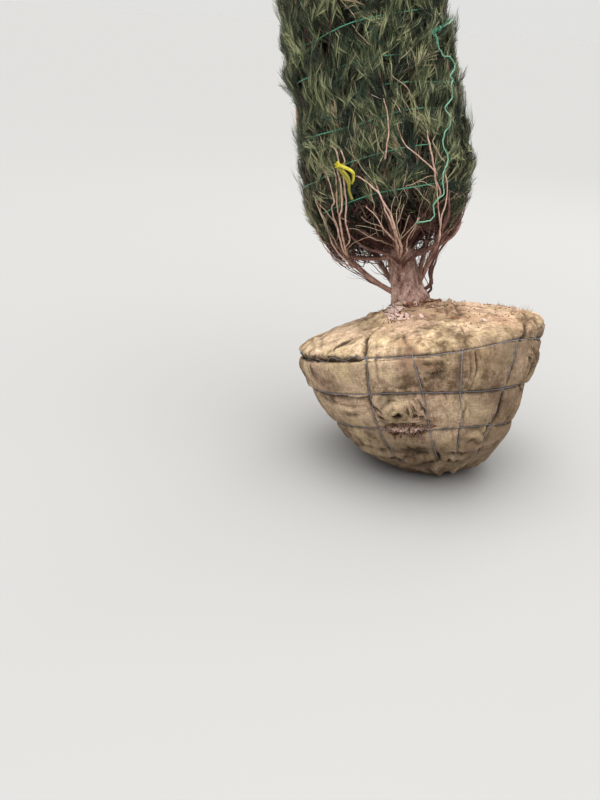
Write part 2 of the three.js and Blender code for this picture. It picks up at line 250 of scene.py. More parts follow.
def bezier(a, b, c, count):
    """Quadratic paths (n, count, 3) from a by way of b to c, each (n, 3)."""
    t = np.linspace(0, 1, count)[None, :, None]
    a, b, c = a[:, None], b[:, None], c[:, None]
    return a * (1 - t) ** 2 + 2 * b * t * (1 - t) + c * t**2


# Materials

THREAD_SPACING = 0.0032  # of the burlap
PLIES = 3  # of a twine
PLY_LENGTH = 0.011  # of a turn of its plies


class Nodes:
    """Short ways to add nodes to a node tree; most give the output socket."""

    def __init__(self, tree):
        self.tree = tree

    def put(self, value, socket):
        """Links an output to a socket, or sets it to a number, a vector or a colour."""
        if isinstance(value, bpy.types.NodeSocket):
            self.tree.links.new(value, socket)
        elif isinstance(value, tuple):
            socket.default_value = (*value, 1)[: len(socket.default_value)]
        else:
            socket.default_value = value

    def add(self, kind, inputs=None, **settings):
        node = self.tree.nodes.new("ShaderNode" + kind)
        for key, value in settings.items():
            setattr(node, key, value)
        for socket, value in (inputs or {}).items():
            self.put(value, node.inputs[socket])
        return node

    def calc(self, operation, *values):
        return self.add("Math", dict(enumerate(values)), operation=operation).outputs[0]

    def times(self, a, b):
        return self.calc("MULTIPLY", a, b)

    def scaled(self, value, gain, more):
        return self.calc("MULTIPLY_ADD", value, gain, more)

    def noise(self, vector, scale, detail=4.0, rough=0.6):
        inputs = {"Scale": scale, "Detail": detail, "Roughness": rough, "Vector": vector}
        return self.add("TexNoise", inputs).outputs["Fac"]

    def ramp(self, fac, stops):
        node = self.add("ValToRGB", {"Fac": fac})
        elements = node.color_ramp.elements
        while len(elements) < len(stops):
            elements.new(0.5)
        for element, (at, colour) in zip(elements, stops):
            element.position = at
            element.color = (*colour, 1)
        return node.outputs["Color"]

    def blend(self, fac, a, b, mode="MIX"):
        inputs = {0: fac, 6: a, 7: b}
        return self.add("Mix", inputs, data_type="RGBA", blend_type=mode).outputs[2]

    def attribute(self, name):
        return self.add("Attribute", attribute_name=name).outputs["Fac"]


class Paint(Nodes):
    """A material of one plain colour, to which nodes can be added."""

    def __init__(self, name, colour, roughness=0.7, specular=0.3):
        self.data = bpy.data.materials.new(name)
        self.data.use_nodes = True
        super().__init__(self.data.node_tree)
        self.inputs = self.tree.nodes["Principled BSDF"].inputs
        self.put(colour, self.inputs["Base Color"])
        self.put(roughness, self.inputs["Roughness"])
        self.put(specular, self.inputs["Specular IOR Level"])

    def coordinates(self):
        """The outputs of a texture coordinate node."""
        return self.add("TexCoord").outputs

    def finish(self, tone, height, strength, distance):
        """Links the colour and a relief, and gives the material."""
        self.put(tone, self.inputs["Base Color"])
        inputs = {"Strength": strength, "Distance": distance, "Height": height}
        self.put(self.add("Bump", inputs).outputs["Normal"], self.inputs["Normal"])
        return self.data


def weave_group():
    """Over-and-under threads of a coarse cloth, from a UV in metres."""
    group = bpy.data.node_groups.new("plain_weave", "ShaderNodeTree")
    for name, way, kind in (
        ("Vector", "INPUT", "NodeSocketVector"),
        ("Thread spacing", "INPUT", "NodeSocketFloat"),
        ("Height", "OUTPUT", "NodeSocketFloat"),
    ):
        group.interface.new_socket(name, in_out=way, socket_type=kind)
    n = Nodes(group)
    given = group.nodes.new("NodeGroupInput").outputs
    out = group.nodes.new("NodeGroupOutput").inputs
    apart = n.add("SeparateXYZ", {0: given["Vector"]}).outputs
    rate = n.calc("DIVIDE", math.pi, given["Thread spacing"])
    u, v = n.times(apart[0], rate), n.times(apart[1], rate)
    warp, weft = (n.calc("ABSOLUTE", n.calc("SINE", t)) for t in (u, v))
    over = n.times(n.calc("COSINE", u), n.calc("COSINE", v))
    flip = n.scaled(over, 0.5, 0.5)
    high = n.times(warp, flip)
    low = n.times(weft, n.calc("SUBTRACT", 1.0, flip))
    n.put(n.calc("ADD", high, low), out["Height"])
    return group


def burlap_material():
    """Woven tan cloth with slubs and stains, darker patches of dirt and painted shade, painted shade in
    the creases and painted highlights on the ridges.
    """
    p = Paint("burlap", (0.45, 0.36, 0.21), 0.95, 0.1)
    at = p.coordinates()
    where, uv = at["Object"], at["UV"]
    broad, patch = p.noise(where, 4.5, 5), p.noise(where, 17, 6, 0.68)
    mottle, fine = p.noise(where, 55, 4, 0.7), p.noise(where, 160, 3)
    level = p.scaled(patch, 0.45, p.times(broad, 0.35))
    stops = [
        (0.410, (0.170, 0.112, 0.066)), (0.456, (0.390, 0.275, 0.172)),
        (0.505, (0.630, 0.460, 0.302)), (0.560, (0.835, 0.630, 0.415)),
    ]
    tone = p.ramp(p.scaled(mottle, 0.20, level), stops)
    threads = p.add("Group", node_tree=weave_group())
    p.put(uv, threads.inputs["Vector"])
    p.put(THREAD_SPACING, threads.inputs["Thread spacing"])
    height = threads.outputs["Height"]
    streaks = [p.add("Mapping", {"Scale": s, "Vector": uv}) for s in ((260, 14, 1), (14, 260, 1))]
    slubs = p.calc("MAXIMUM", *(p.noise(s.outputs["Vector"], 1.0, 3) for s in streaks))
    shade = p.scaled(height, 0.26, 0.80)
    shade = p.times(shade, p.scaled(slubs, 1.9, -0.06))
    shade = p.times(shade, p.scaled(fine, 1.1, 0.45))
    grey = p.add("CombineColor", {"Red": shade, "Green": shade, "Blue": shade})
    tone = p.blend(1.0, tone, grey.outputs[0], "MULTIPLY")
    stops = [(0.40, (1.0, 0.955, 1.0)), (0.50, (1.0, 0.985, 0.99)), (0.60, (0.985, 1.0, 0.925))]
    tone = p.blend(1.0, tone, p.ramp(p.noise(where, 7, 4, 0.6), stops), "MULTIPLY")
    spots = p.times(p.attribute("stain"), p.scaled(patch, 2.4, -0.55))
    tone = p.blend(p.calc("MINIMUM", spots, 0.8), tone, (0.36, 0.185, 0.115))
    # Darkening towards a dark brown: dirt, and painted shade in some places
    dirt_and_shade_mix = p.times(p.attribute("damp"), p.scaled(patch, 0.9, 0.25))
    tone = p.blend(p.calc("MINIMUM", dirt_and_shade_mix, 0.8), tone, (0.135, 0.090, 0.058))
    # Painted shade: the creases and slits of the cloth are darkened towards near black
    crease = p.attribute("crease")
    tone = p.blend(p.times(p.calc("MAXIMUM", crease, 0.0), 0.88), tone, (0.040, 0.026, 0.017))
    # Painted highlight: where the attribute is below zero, on the ridges, the cloth is lightened
    ridge_highlight = p.calc("MAXIMUM", p.times(crease, -1.0), 0.0)
    tone = p.blend(p.times(ridge_highlight, 0.45), tone, (0.66, 0.50, 0.34))
    wrinkle = p.calc("ABSOLUTE", p.calc("SUBTRACT", p.noise(where, 26, 3, 0.55), 0.5))
    rise = p.scaled(slubs, 0.9, height)
    rise = p.scaled(p.calc("POWER", wrinkle, 0.7), 2.3, rise)
    return p.finish(tone, rise, 0.5, 0.0018)


def rough_material(name, stops, scale, roughness=0.95, relief=0.004, stretch=None, dress=None):
    """Soil, bark and the like: colours by noise, with a rough relief."""
    p = Paint(name, stops[-1][1], roughness, 0.15)
    where = p.coordinates()["Object"]
    if stretch:
        along = (-math.radians(LEAN_BACK), -math.radians(LEAN_LEFT), 0)
        inputs = {"Rotation": along, "Scale": stretch, "Vector": where}
        where = p.add("Mapping", inputs).outputs["Vector"]
    broad, fine = p.noise(where, scale, 5), p.noise(where, scale * 6, 4)
    tone = p.ramp(p.scaled(fine, 0.4, p.times(broad, 0.6)), stops)
    if dress:
        tone = dress(p, where, tone)
    return p.finish(tone, fine, 0.6, relief)


def specks_and_crack_shadows(p, where, tone):
    """Pale pinkish specks where the soil shows in the tear, and cracks across it painted near black as
    their shadow.
    """
    specks = p.ramp(p.noise(where, 150, 2), [(0.44, (0, 0, 0)), (0.54, (1, 1, 1))])
    tone = p.blend(p.times(specks, p.attribute("pale")), tone, (0.66, 0.48, 0.40))
    # Painted shadow: the cracks are painted near black
    return p.blend(p.attribute("crack"), tone, (0.012, 0.008, 0.006))


BURLAP = burlap_material()
SOIL = rough_material(
    "root_ball_soil",
    [(0.32, (0.075, 0.036, 0.024)), (0.5, (0.225, 0.118, 0.078)), (0.68, (0.42, 0.25, 0.175))],
    34, dress=specks_and_crack_shadows,
)
BARK = rough_material(
    "pine_bark",
    [(0.36, (0.055, 0.028, 0.021)), (0.45, (0.310, 0.180, 0.142)), (0.55, (0.56, 0.370, 0.305)),
     (0.68, (0.80, 0.62, 0.54))],
    52, relief=0.007, stretch=(1, 1, 0.35),
)
LIMB_BARK = rough_material(
    "bough_bark",
    [(0.3, (0.135, 0.068, 0.054)), (0.5, (0.370, 0.212, 0.170)), (0.7, (0.62, 0.425, 0.350))],
    30, 0.8, 0.0015,
)
# Near-black bark: painted shade on the dark limbs and twigs; the green twigs and laterals use it too
DARK_BARK = rough_material(
    "dark_twig_bark",
    [(0.3, (0.050, 0.024, 0.020)), (0.55, (0.185, 0.093, 0.078)), (0.75, (0.37, 0.215, 0.180))],
    30, 0.85, 0.001,
)
TWIG_BARK = rough_material(
    "bare_twig_bark",
    [(0.3, (0.24, 0.125, 0.090)), (0.48, (0.54, 0.335, 0.255)), (0.66, (0.82, 0.64, 0.53))],
    60, 0.8, 0.001,
)
STEM_BARK = rough_material(
    "thin_stem_bark",
    [(0.3, (0.15, 0.10, 0.065)), (0.5, (0.40, 0.30, 0.205)), (0.7, (0.66, 0.54, 0.40))],
    60, 0.8, 0.0006,
)
JUTE = rough_material(
    "jute_thread", [(0.3, (0.30, 0.21, 0.13)), (0.7, (0.62, 0.47, 0.31))], 60, relief=0.0005
)


def twine_material(name, dark, light, gloss=0.6):
    """Plied strands: relief follows the twist along the UV, and so does the tone, dark between the plies
    as painted shade and light on them as painted highlight.
    """
    p = Paint(name, light, gloss, 0.3)
    at = p.coordinates()
    apart = p.add("SeparateXYZ", {0: at["UV"]}).outputs
    along = p.times(apart[1], TAU / PLY_LENGTH)
    twist = p.scaled(apart[0], PLIES * TAU, along)
    plies = p.scaled(p.calc("SINE", twist), 0.5, 0.5)
    fibre = p.noise(at["Object"], 420, 2)
    # Painted shade between the plies and painted highlight on them, mixed with fibre noise
    tone = p.scaled(fibre, 0.5, p.times(plies, 0.6))
    return p.finish(p.ramp(tone, [(0.2, dark), (0.75, light)]), plies, 0.5, 0.001)


# Each twine has a shaded and a lit tone: painted shade and highlight along its plies
LACE = twine_material("grey_twine", (0.08, 0.076, 0.08), (0.38, 0.37, 0.41))
GREEN = twine_material("green_twine", (0.03, 0.16, 0.09), (0.14, 0.45, 0.28), 0.45)
MINT = twine_material("pale_green_twine", (0.07, 0.26, 0.16), (0.30, 0.62, 0.43), 0.45)
RUST_CHIP, TAN_CHIP, PALE_CHIP, CRUMB, PINK_CRUMB = (
    rough_material(name, [(0.3, dark), (0.7, light)], 60)
    for name, dark, light in (
        ("bark_chip_rust", (0.18, 0.06, 0.03), (0.50, 0.20, 0.10)),
        ("bark_chip_tan", (0.30, 0.18, 0.10), (0.62, 0.44, 0.29)),
        ("wood_chip_pale", (0.46, 0.30, 0.25), (0.90, 0.72, 0.65)),
        ("soil_crumb", (0.06, 0.03, 0.018), (0.26, 0.125, 0.07)),
        ("pink_soil_crumb", (0.11, 0.055, 0.038), (0.46, 0.29, 0.21)),
    )
)


# Root ball


def ball_point(share, angle):
    """The smooth surface of the ball, in the tree's frame, as in the CAD."""
    share, angle = np.broadcast_arrays(np.asarray(share, float), np.asarray(angle, float))
    turn = np.abs(share) * math.pi / 2
    below = share < 0
    wide = BALL_RADIUS * np.maximum(np.cos(turn), 0) ** np.where(below, *WIDTH_POWER)
    lift = np.where(below, -BOWL, DOME_HEIGHT) * np.sin(turn) ** np.where(below, *HEIGHT_POWER)
    uneven = (
        1 + 0.016 * np.sin(2 * angle + 0.9) + 0.012 * np.sin(3 * angle + share * 4)
        + 0.008 * np.sin(7 * angle)
    )
    depth = np.maximum(-lift / BOWL, 0)
    drawn_in = RIGHT_TUCK * ease(depth, 0, TUCK_REACH) * np.maximum(np.cos(angle), 0)
    x = wide * uneven * np.cos(angle) * (1 - drawn_in)
    return np.stack(
        [
            x + BALL_OFFSET + BALL_SLUMP * depth,
            wide * uneven * np.sin(angle),
            SHOULDER + lift + 0.020 * np.maximum(x / BALL_RADIUS, 0) ** 2,
        ],
        -1,
    )


def ball_normal(share, angle):
    d = 1e-4
    inside = np.clip(share, -1 + 2 * d, 1 - 2 * d)
    up = ball_point(inside + d, angle) - ball_point(inside - d, angle)
    along = ball_point(inside, angle + d) - ball_point(inside, angle - d)
    return unit(np.cross(along, up))


# Lengths up and round the ball for a share of its outline
TABLE = np.linspace(-1, 1, 801)
PROFILE = ball_point(TABLE, 0.6)
ARC = np.concatenate([[0], np.cumsum(np.linalg.norm(np.diff(PROFILE, axis=0), axis=1))])
GIRTH = np.maximum(np.hypot(PROFILE[:, 0] - BALL_OFFSET, PROFILE[:, 1]), 0.02)
SLOPE = np.gradient(ARC, TABLE)

# The lacing, as in the CAD: share and tilt of each ring; turn, drift and pull of each upright
RINGS = [
    {"share": -0.02, "right": -0.10, "back": -0.085},
    {"share": -0.265, "right": -0.057, "back": -0.036},
    {"share": -0.455, "right": -0.049, "back": -0.028},
]
UPRIGHTS = [
    {"turn": math.radians(turn), "drift": math.radians(drift), "pull": pull}
    for turn, drift, pull in (
        (-119.5, -9, 1.0), (-98, -1.5, 0.75), (-77, -7, 0.5), (-47, -13, 1.0), (-16, -5, 0.7),
        (20, 2, 0.9), (55, 6, 0.7), (88, 7, 1.0), (122, 6, 0.6), (156, 3, 0.9), (190, -2, 0.7),
    )
]
UPRIGHT_SPAN = (-0.66, 0.50)
LACE_RADIUS = 0.0016


def ring_share(ring, angle):
    tilted = ring["share"] + ring["right"] * np.cos(angle) + ring["back"] * np.sin(angle)
    return tilted + 0.004 * np.sin(5 * angle + ring["share"] * 9)


def upright_angle(upright, share):
    down = np.maximum(np.asarray(share) / RINGS[2]["share"], 0)
    waver = 0.012 * np.sin(np.asarray(share) * 9 + upright["turn"] * 5)
    return upright["turn"] + upright["drift"] * down + waver


def arc_at(share):
    return np.interp(share, TABLE, ARC)


def girth_at(share):
    return np.interp(share, TABLE, GIRTH)


def gap_to(share, angle, turn, at):
    """Metres across and up the cloth from the place at turn and at to share and angle."""
    return span(angle - turn) * girth_at(share), arc_at(share) - arc_at(at)


FOLD_END = 0.022  # metres in which a fold runs out


class Fold:
    """A fold of the cloth: a ledge proud on its left, a welt or a groove.

    Its line goes through spots (turn in degrees, share in thousandths).
    """

    def __init__(self, kind, width, height, spots):
        self.kind, self.width, self.height = kind, width, height
        turns, shares = np.array(spots).T
        turns, shares = np.radians(turns), shares / 1000
        self.turn, self.girth = turns[0], float(girth_at(shares.mean()))
        self.arc = float(arc_at(shares[0]))
        across = span(turns - self.turn) * self.girth
        self.line = resample(np.stack([across, arc_at(shares) - self.arc], -1), 5 * len(spots))
        steps = np.linalg.norm(np.diff(self.line, axis=0), axis=1)
        self.starts = np.concatenate([[0], np.cumsum(steps)])
        self.low = self.line.min(0) - 4.5 * width
        self.high = self.line.max(0) + 4.5 * width

    def nearest(self, p):
        """For points p: their distance to the left of the fold's line, and the length to there."""
        best, off, along = np.full(len(p), FAR), np.zeros(len(p)), np.zeros(len(p))
        for a, b, start in zip(self.line[:-1], self.line[1:], self.starts[:-1]):
            way = b - a
            length = np.hypot(*way)
            t = np.clip((p - a) @ way / length**2, 0, 1)
            gap = p - a - t[:, None] * way
            far = np.hypot(gap[:, 0], gap[:, 1])
            closer = far < best
            side = np.where(way[0] * gap[:, 1] - way[1] * gap[:, 0] >= 0, 1, -1)
            best = np.where(closer, far, best)
            off = np.where(closer, far * side, off)
            along = np.where(closer, start + t * length, along)
        return off, along

    def relief(self, share, angle):
        x, y = span(angle - self.turn) * self.girth, arc_at(share) - self.arc
        out = np.zeros(np.shape(x))
        near = (x > self.low[0]) & (x < self.high[0]) & (y > self.low[1]) & (y < self.high[1])
        off, along = self.nearest(np.stack([x[near], y[near]], -1))
        whole, w = self.starts[-1], self.width
        off = off + 0.0018 * np.sin(along * 60 + whole * 100) + 0.0006 * np.sin(along * 210)
        fade = np.clip(along / FOLD_END, 0, 1) * np.clip((whole - along) / FOLD_END, 0, 1)
        if self.kind == "ledge":
            proud = 1 / (1 + np.exp(-off / 0.0010))
            shape = proud * np.exp(-np.maximum(off, 0) / w)
            shape = shape - 0.75 * (1 - proud) * np.exp(np.minimum(off, 0) / (0.42 * w))
        elif self.kind == "welt":
            shape = np.exp(-np.abs(off / w) ** 1.4)
            shape = shape - 0.45 * gauss(np.abs(off) - 1.7 * w, 0.6 * w)
        else:
            shape = -np.exp(-np.sqrt(off**2 + 0.0008**2) / w)
            shape = shape + 0.35 * gauss(np.abs(off) - 2.2 * w, 1.2 * w)
        out[near] = self.height * np.sqrt(fade) * shape
        return out


# Kind, width and height in tenths of a millimetre, and spots
FOLDS = [
    Fold(kind, width / 1e4, height / 1e4, spots)
    for kind, width, height, spots in (
        # over the upper ring at the left, the flap there and the slit in the dome
        ("ledge", 300, 240, [(-188, 100), (-172, 100), (-158, 108), (-144, 114), (-130, 110),
          (-121, 106)]),
        ("welt", 100, 70, [(-148, 145), (-160, 275), (-182, 320)]),
        ("ledge", 180, 120, [(-138, 190), (-136.5, 290), (-134, 355), (-130, 415)]),
        ("groove", 60, 140, [(-138, 190), (-136.5, 290), (-134, 355), (-130, 415)]),
        ("ledge", 120, 60, [(-136, 185), (-130, 200), (-126.5, 279), (-125.5, 355)]),
        # beside the first upright
        ("groove", 75, 170, [(-121, 528), (-125, 455), (-124, 359), (-122, 271), (-120, 150)]),
        ("groove", 50, 100, [(-132, 450), (-127, 462), (-120, 475)]),
        ("ledge", 100, 60, [(-116.5, -80), (-115.5, 190), (-118.5, 355)]),
        ("groove", 45, 60, [(-116, -150), (-115, -20), (-115.5, 90)]),
        ("groove", 50, 60, [(-105, 420), (-101, 240), (-98, 80)]),
        # the lump of torn cloth right of the stains
        ("welt", 90, 130, [(-96.5, -30), (-92, -26), (-87.5, -40), (-86.5, -75)]),
        ("ledge", 120, 110, [(-97, -86), (-92, -104), (-86, -82)]),
        # doubled cloth along the third upright
        ("groove", 70, 60, [(-70, 390), (-74, 200), (-75, 60)]),
        ("welt", 60, 80, [(-73, -20), (-74, -90), (-74, -150), (-79, -235)]),
        ("groove", 40, 80, [(-71.5, -20), (-72.5, -110), (-76, -220)]),
        ("welt", 55, 70, [(-80, -285), (-82, -350), (-83, -424)]),
        ("ledge", 120, 80, [(-86, -590), (-84, -430), (-80, -270)]),
        # the ruffles at the right
        ("groove", 80, 100, [(-9, 337), (-30, 220), (-42, 60), (-46, -60)]),
        ("welt", 110, 110, [(-20, 250), (-24, 147), (-25, -15)]),
        ("ledge", 160, 120, [(-30, 300), (-37, 120), (-42, -40)]),
        ("welt", 100, 130, [(-40, -110), (-34, -175), (-30, -240), (-35, -290)]),
        ("welt", 80, 100, [(-30, -120), (-26, -190), (-24, -260)]),
        ("groove", 60, 140, [(-38, -110), (-39.5, -250), (-39, -320), (-45, -400), (-52, -470)]),
        ("groove", 60, 100, [(-55, -280), (-56, -331), (-58, -414), (-63, -452), (-66, -505)]),
        ("ledge", 140, 100, [(-60, -440), (-52, -400), (-46, -340)]),
        ("ledge", 140, 100, [(-16, 420), (-12, 250), (-14, 40)]),
        # over the second ring at the left, and slanting folds under it
        ("ledge", 260, 90, [(-178, -186), (-168, -195), (-149, -206), (-134, -214), (-122, -218)]),
        ("groove", 65, 40, [(-168, -232), (-147, -248), (-136, -268), (-124, -268)]),
        ("welt", 140, 40, [(-160, -250), (-146, -285), (-136, -290)]),
        ("groove", 80, 40, [(-146, -310), (-134, -312), (-125, -285)]),
        ("groove", 60, 50, [(-113, -160), (-106, -180), (-100, -165)]),
        # the pocket of bunched cloth above the torn place
        ("welt", 85, 90, [(-118.5, -325), (-117.5, -288), (-113.5, -256), (-109.5, -262)]),
        ("groove", 55, 120, [(-125, -230), (-124.5, -270), (-121.5, -295), (-119, -308)]),
        ("groove", 50, 90, [(-101, -245), (-100, -290), (-99, -335)]),
        ("welt", 50, 90, [(-104, -240), (-102.5, -275), (-101.5, -320)]),
        ("ledge", 100, 40, [(-126, -352), (-118, -355), (-108, -357), (-98, -355)]),
        # gathered cloth at the lower front
        ("welt", 160, 100, [(-152, -455), (-154, -515), (-140, -560), (-124, -600)]),
        ("welt", 160, 140, [(-128, -640), (-116, -628), (-103, -606)]),
        ("welt", 160, 150, [(-95, -612), (-87, -636), (-77, -636)]),
        ("groove", 70, 170, [(-98.5, -575), (-99, -610), (-101, -680)]),
        ("groove", 60, 100, [(-91, -590), (-91.5, -640), (-93, -690)]),
        ("welt", 130, 100, [(-80, -492), (-73, -486), (-66, -535)]),
        ("ledge", 140, 120, [(-88, -588), (-78, -590), (-68, -590), (-57, -570), (-44, -532)]),
        ("groove", 60, 70, [(-118, -490), (-113, -560), (-104, -580)]),
        # cloth folded round the collar
        ("welt", 110, 110, [(-14, 540), (-22, 640), (-44, 735), (-62, 765), (-84, 770)]),
        ("groove", 80, 80, [(-20, 560), (-32, 650), (-54, 720), (-82, 735)]),
        ("welt", 105, 100, [(-30, 750), (-48, 680), (-60, 595), (-66, 520)]),
        ("welt", 120, 90, [(-20, 700), (-8, 660), (6, 690)]),
        ("ledge", 160, 120, [(60, 660), (90, 720), (120, 700)]),
        ("welt", 120, 100, [(170, 700), (190, 660), (205, 700)]),
        # sides and back
        ("ledge", 280, 140, [(4, 50), (14, 70), (28, 75), (44, 60)]),
        ("groove", 120, 70, [(16, 360), (20, 200), (20, 50)]),
        ("welt", 120, 100, [(30, -200), (26, -320), (24, -420)]),
        ("groove", 120, 60, [(62, 420), (57, 240), (56, 60)]),
        ("ledge", 260, 150, [(96, 90), (110, 105), (126, 95), (140, 120)]),
        ("welt", 140, 80, [(92, -160), (103, -220), (116, -250)]),
        ("groove", 120, 60, [(128, 440), (123, 240), (122, 100)]),
        ("ledge", 220, 100, [(58, -200), (70, -215), (84, -205)]),
        ("welt", 120, 80, [(150, -50), (153, -120), (150, -200)]),
        ("welt", 130, 80, [(48, -400), (60, -440), (72, -415)]),
        ("groove", 120, 50, [(150, 480), (154, 300), (156, 120)]),
        ("welt", 180, 130, [(120, -620), (140, -660), (160, -620)]),
        ("welt", 180, 130, [(10, -630), (30, -660), (50, -630)]),
        ("welt", 160, 130, [(70, -640), (85, -670), (100, -630)]),
    )
]
# Lines where the cloth parts or folds right in, painted dark as shade so that no light comes out: width
# and spots of each
SLITS = [
    Fold("groove", width / 1e4, 1.0, spots)
    for width, spots in (
        (36, [(-138.5, 185), (-137, 290), (-134, 355), (-129.5, 415)]),
        (30, [(-121, 500), (-124.5, 440), (-123.5, 359), (-121.5, 271), (-119.5, 160)]),
        (20, [(-131, 452), (-126, 462), (-121, 475)]),
        (30, [(-188, 98), (-172, 98), (-160, 106)]),
        (24, [(-160, 106), (-144, 112), (-130, 108), (-121, 104)]),
        (26, [(-176, -189), (-160, -201), (-146, -210), (-132, -216)]),
        (22, [(-124.5, -235), (-124.5, -275), (-121.5, -315), (-118, -345)]),
        (16, [(-108.5, -272), (-107, -300), (-105.5, -345)]),
        (16, [(-104.6, -262), (-104.2, -300), (-103.6, -345)]),
        (20, [(-105.5, -342), (-103, -346), (-99.5, -345)]),
        (22, [(-100.8, -238), (-99.9, -290), (-98.6, -345)]),
        (24, [(-125, -350), (-118, -354), (-108, -356), (-98, -354)]),
        (18, [(-96.5, -90), (-92, -108), (-86.5, -88)]),
        (18, [(-71.5, -20), (-72.5, -110), (-76, -220)]),
        (24, [(-38, -110), (-39.5, -250), (-39, -320), (-45, -400), (-52, -470)]),
        (24, [(-55, -280), (-56, -331), (-58, -414), (-63, -452), (-66, -505)]),
        (26, [(-98.5, -575), (-99, -610), (-101, -680)]),
        (18, [(-86, -590), (-84.5, -480), (-82, -400)]),
        (22, [(-90, -590), (-78, -594), (-68, -594), (-57, -574), (-44, -536)]),
    )
]
# Hollows and bulges: turn, share in thousandths, half width, half height and depth in mm
DENTS = [
    (-112, -300, 46, 34, 17), (-113.4, -320, 12.5, 11.5, -40), (-111.2, -307, 8, 12, -30),
    (-122.2, -333, 11, 9, -28), (-106.8, -300, 4, 15, -20), (-104.4, -326, 7.5, 9, -30),
    (-101.4, -335, 9, 5, -26), (-103.4, -292, 3, 11, -14), (-111, -366, 80, 8, -8),
    (-110, -470, 70, 18, 10), (-113, -545, 55, 20, -8), (-152, 20, 50, 35, 6), (-91.5, -62, 18, 14, 9),
    (-102, 170, 30, 22, 6), (-133, 200, 35, 22, 10), (-86, 300, 85, 45, 6), (-150, 70, 50, 18, -6),
    (-56, 220, 60, 50, 7), (-64, -120, 50, 40, 5), (-90, -135, 30, 20, -5), (-141, -30, 70, 50, 6),
    (30, 200, 60, 40, 8), (104, 220, 60, 40, 8), (170, 250, 60, 40, 8),
]
TEAR_TURN, TEAR_SHARE = math.radians(-111.5), -0.403
TEAR_HALF = (0.084, 0.0265)
TEAR_POWER = 2.6  # how square the tear's corners are


def tear_edge(bearing):
    """How far the torn edge lies from the tear's middle, for a bearing in it."""
    c, s = np.cos(bearing), np.sin(bearing)
    edge = np.abs(c / TEAR_HALF[0]) ** TEAR_POWER + np.abs(s / TEAR_HALF[1]) ** TEAR_POWER
    ragged = 1 + 0.11 * np.sin(7 * bearing + 1) + 0.09 * np.sin(13 * bearing)
    return edge ** (-1 / TEAR_POWER) * (ragged + 0.07 * np.sin(23 * bearing))


def in_tear(bearing, out=1.0):
    """Share and angle of places in the tear, at bearings and shares of the way to its edge."""
    edge = tear_edge(bearing)
    across, up = edge * np.cos(bearing) * out, edge * np.sin(bearing) * out
    share = np.interp(arc_at(TEAR_SHARE) + up, ARC, TABLE)
    return share, TEAR_TURN + across / girth_at(share)


SLACK = Waves(0.30, 4)
FINE = [Waves(0.085, 1), Waves(0.036, 2), Waves(0.016, 3, stretch=(1.0, 1.0, 2.2))]
PLEATS = [Waves(0.16, 5), Waves(0.13, 6)]


def crimp(turns):
    """Pleats with rounded tops and sharp valleys, from 0 in a valley to 1."""
    return np.abs(np.sin(turns / 2)) ** 0.6


def valley(d, wide):
    return np.exp(-np.sqrt(d**2 + 0.0012**2) / wide)


def to_lacing(share, angle, girth):
    """Metres to the nearest ring and the nearest upright, and how hard that upright pulls."""
    slope = np.interp(share, TABLE, SLOPE)
    from_ring = np.full(np.shape(share), FAR)
    for ring in RINGS:
        from_ring = np.minimum(from_ring, np.abs(share - ring_share(ring, angle)) * slope)
    from_upright, pull = np.full(np.shape(share), FAR), np.zeros(np.shape(share))
    for upright in UPRIGHTS:
        d = np.abs(span(angle - upright_angle(upright, share))) * girth
        pull = np.where(d < from_upright, upright["pull"], pull)
        from_upright = np.minimum(from_upright, d)
    low, high = UPRIGHT_SPAN
    laced = ease(share, low - 0.05, low + 0.05) * (1 - ease(share, high - 0.20, high))
    above = ease(share - ring_share(RINGS[0], angle), 0.0, 0.07)
    return from_ring, from_upright, pull * laced * mix(1.0, 0.12, above)


def wrap_relief(share, angle):
    """How far the cloth stands out of the smooth ball."""
    share, angle = np.broadcast_arrays(np.asarray(share, float), np.asarray(angle, float))
    point = ball_point(share, angle)
    girth, arc = girth_at(share), arc_at(share)
    slack = 0.5 + 0.5 * SLACK(point)
    from_ring, from_upright, pull = to_lacing(share, angle, girth)
    bulge = (1 - valley(from_ring, 0.030)) * (1 - pull * valley(from_upright, 0.026))
    out = 0.0150 * bulge * (0.55 + 0.6 * slack) - 0.006
    out = out - 0.0045 * gauss(from_ring, 0.0055) - 0.0045 * pull * gauss(from_upright, 0.006)
    # pleats gathered at the twine
    across = crimp(angle * 0.42 / 0.034 * TAU + 5 * PLEATS[0](point)) - 0.7
    out = out + 0.0024 * across * valley(from_ring, 0.022) * (1 - gauss(from_ring, 0.003))
    up = crimp(arc / 0.040 * TAU + 5 * PLEATS[1](point)) - 0.7
    out = out + 0.0040 * pull * up * valley(from_upright, 0.020)
    for fold in FOLDS:
        out = out + fold.relief(share, angle)
    for turn, at, wide, tall, by in DENTS:
        x, y = gap_to(share, angle, math.radians(turn), at / 1000)
        out = out + by / 1000 * gauss(x, wide / 1000) * gauss(y, tall / 1000)
    # soft creases: the valleys of the noise are sharp
    ridged = [np.abs(waves(point)) ** 0.7 - 0.6 for waves in FINE[:2]]
    calm = mix(1.0, 0.5, ease(share, 0.08, 0.2))
    out = out + calm * (0.0040 * ridged[0] * (0.3 + 0.7 * slack) + 0.0010 * ridged[1])
    out = out + 0.0004 * FINE[2](point)
    # gathers under the ball
    low = ease(-share, 0.64, 0.84) * (1 - ease(-share, 0.93, 1.0))
    gathers = np.sin(13 * angle + 2.2 * np.sin(3 * angle)) + 0.6 * np.sin(29 * angle + 1)
    return out + 0.005 * low * gathers - 0.010 * ease(-share, 0.5, 0.8)


FLAT_BELOW = 0.03  # metres over the ground where the cloth is pressed flat


def wrap_surface(share, angle, above=0.0):
    """Points on the cloth, or a little above it, in the world's frame."""
    relief = wrap_relief(share, angle) + above
    point = to_world(ball_point(share, angle) + ball_normal(share, angle) * relief[..., None])
    z = point[..., 2]
    pressed = np.maximum(np.minimum(z - above, FLAT_BELOW), 0) + above
    point[..., 2] = np.where(z < FLAT_BELOW + above, pressed, z)
    return point
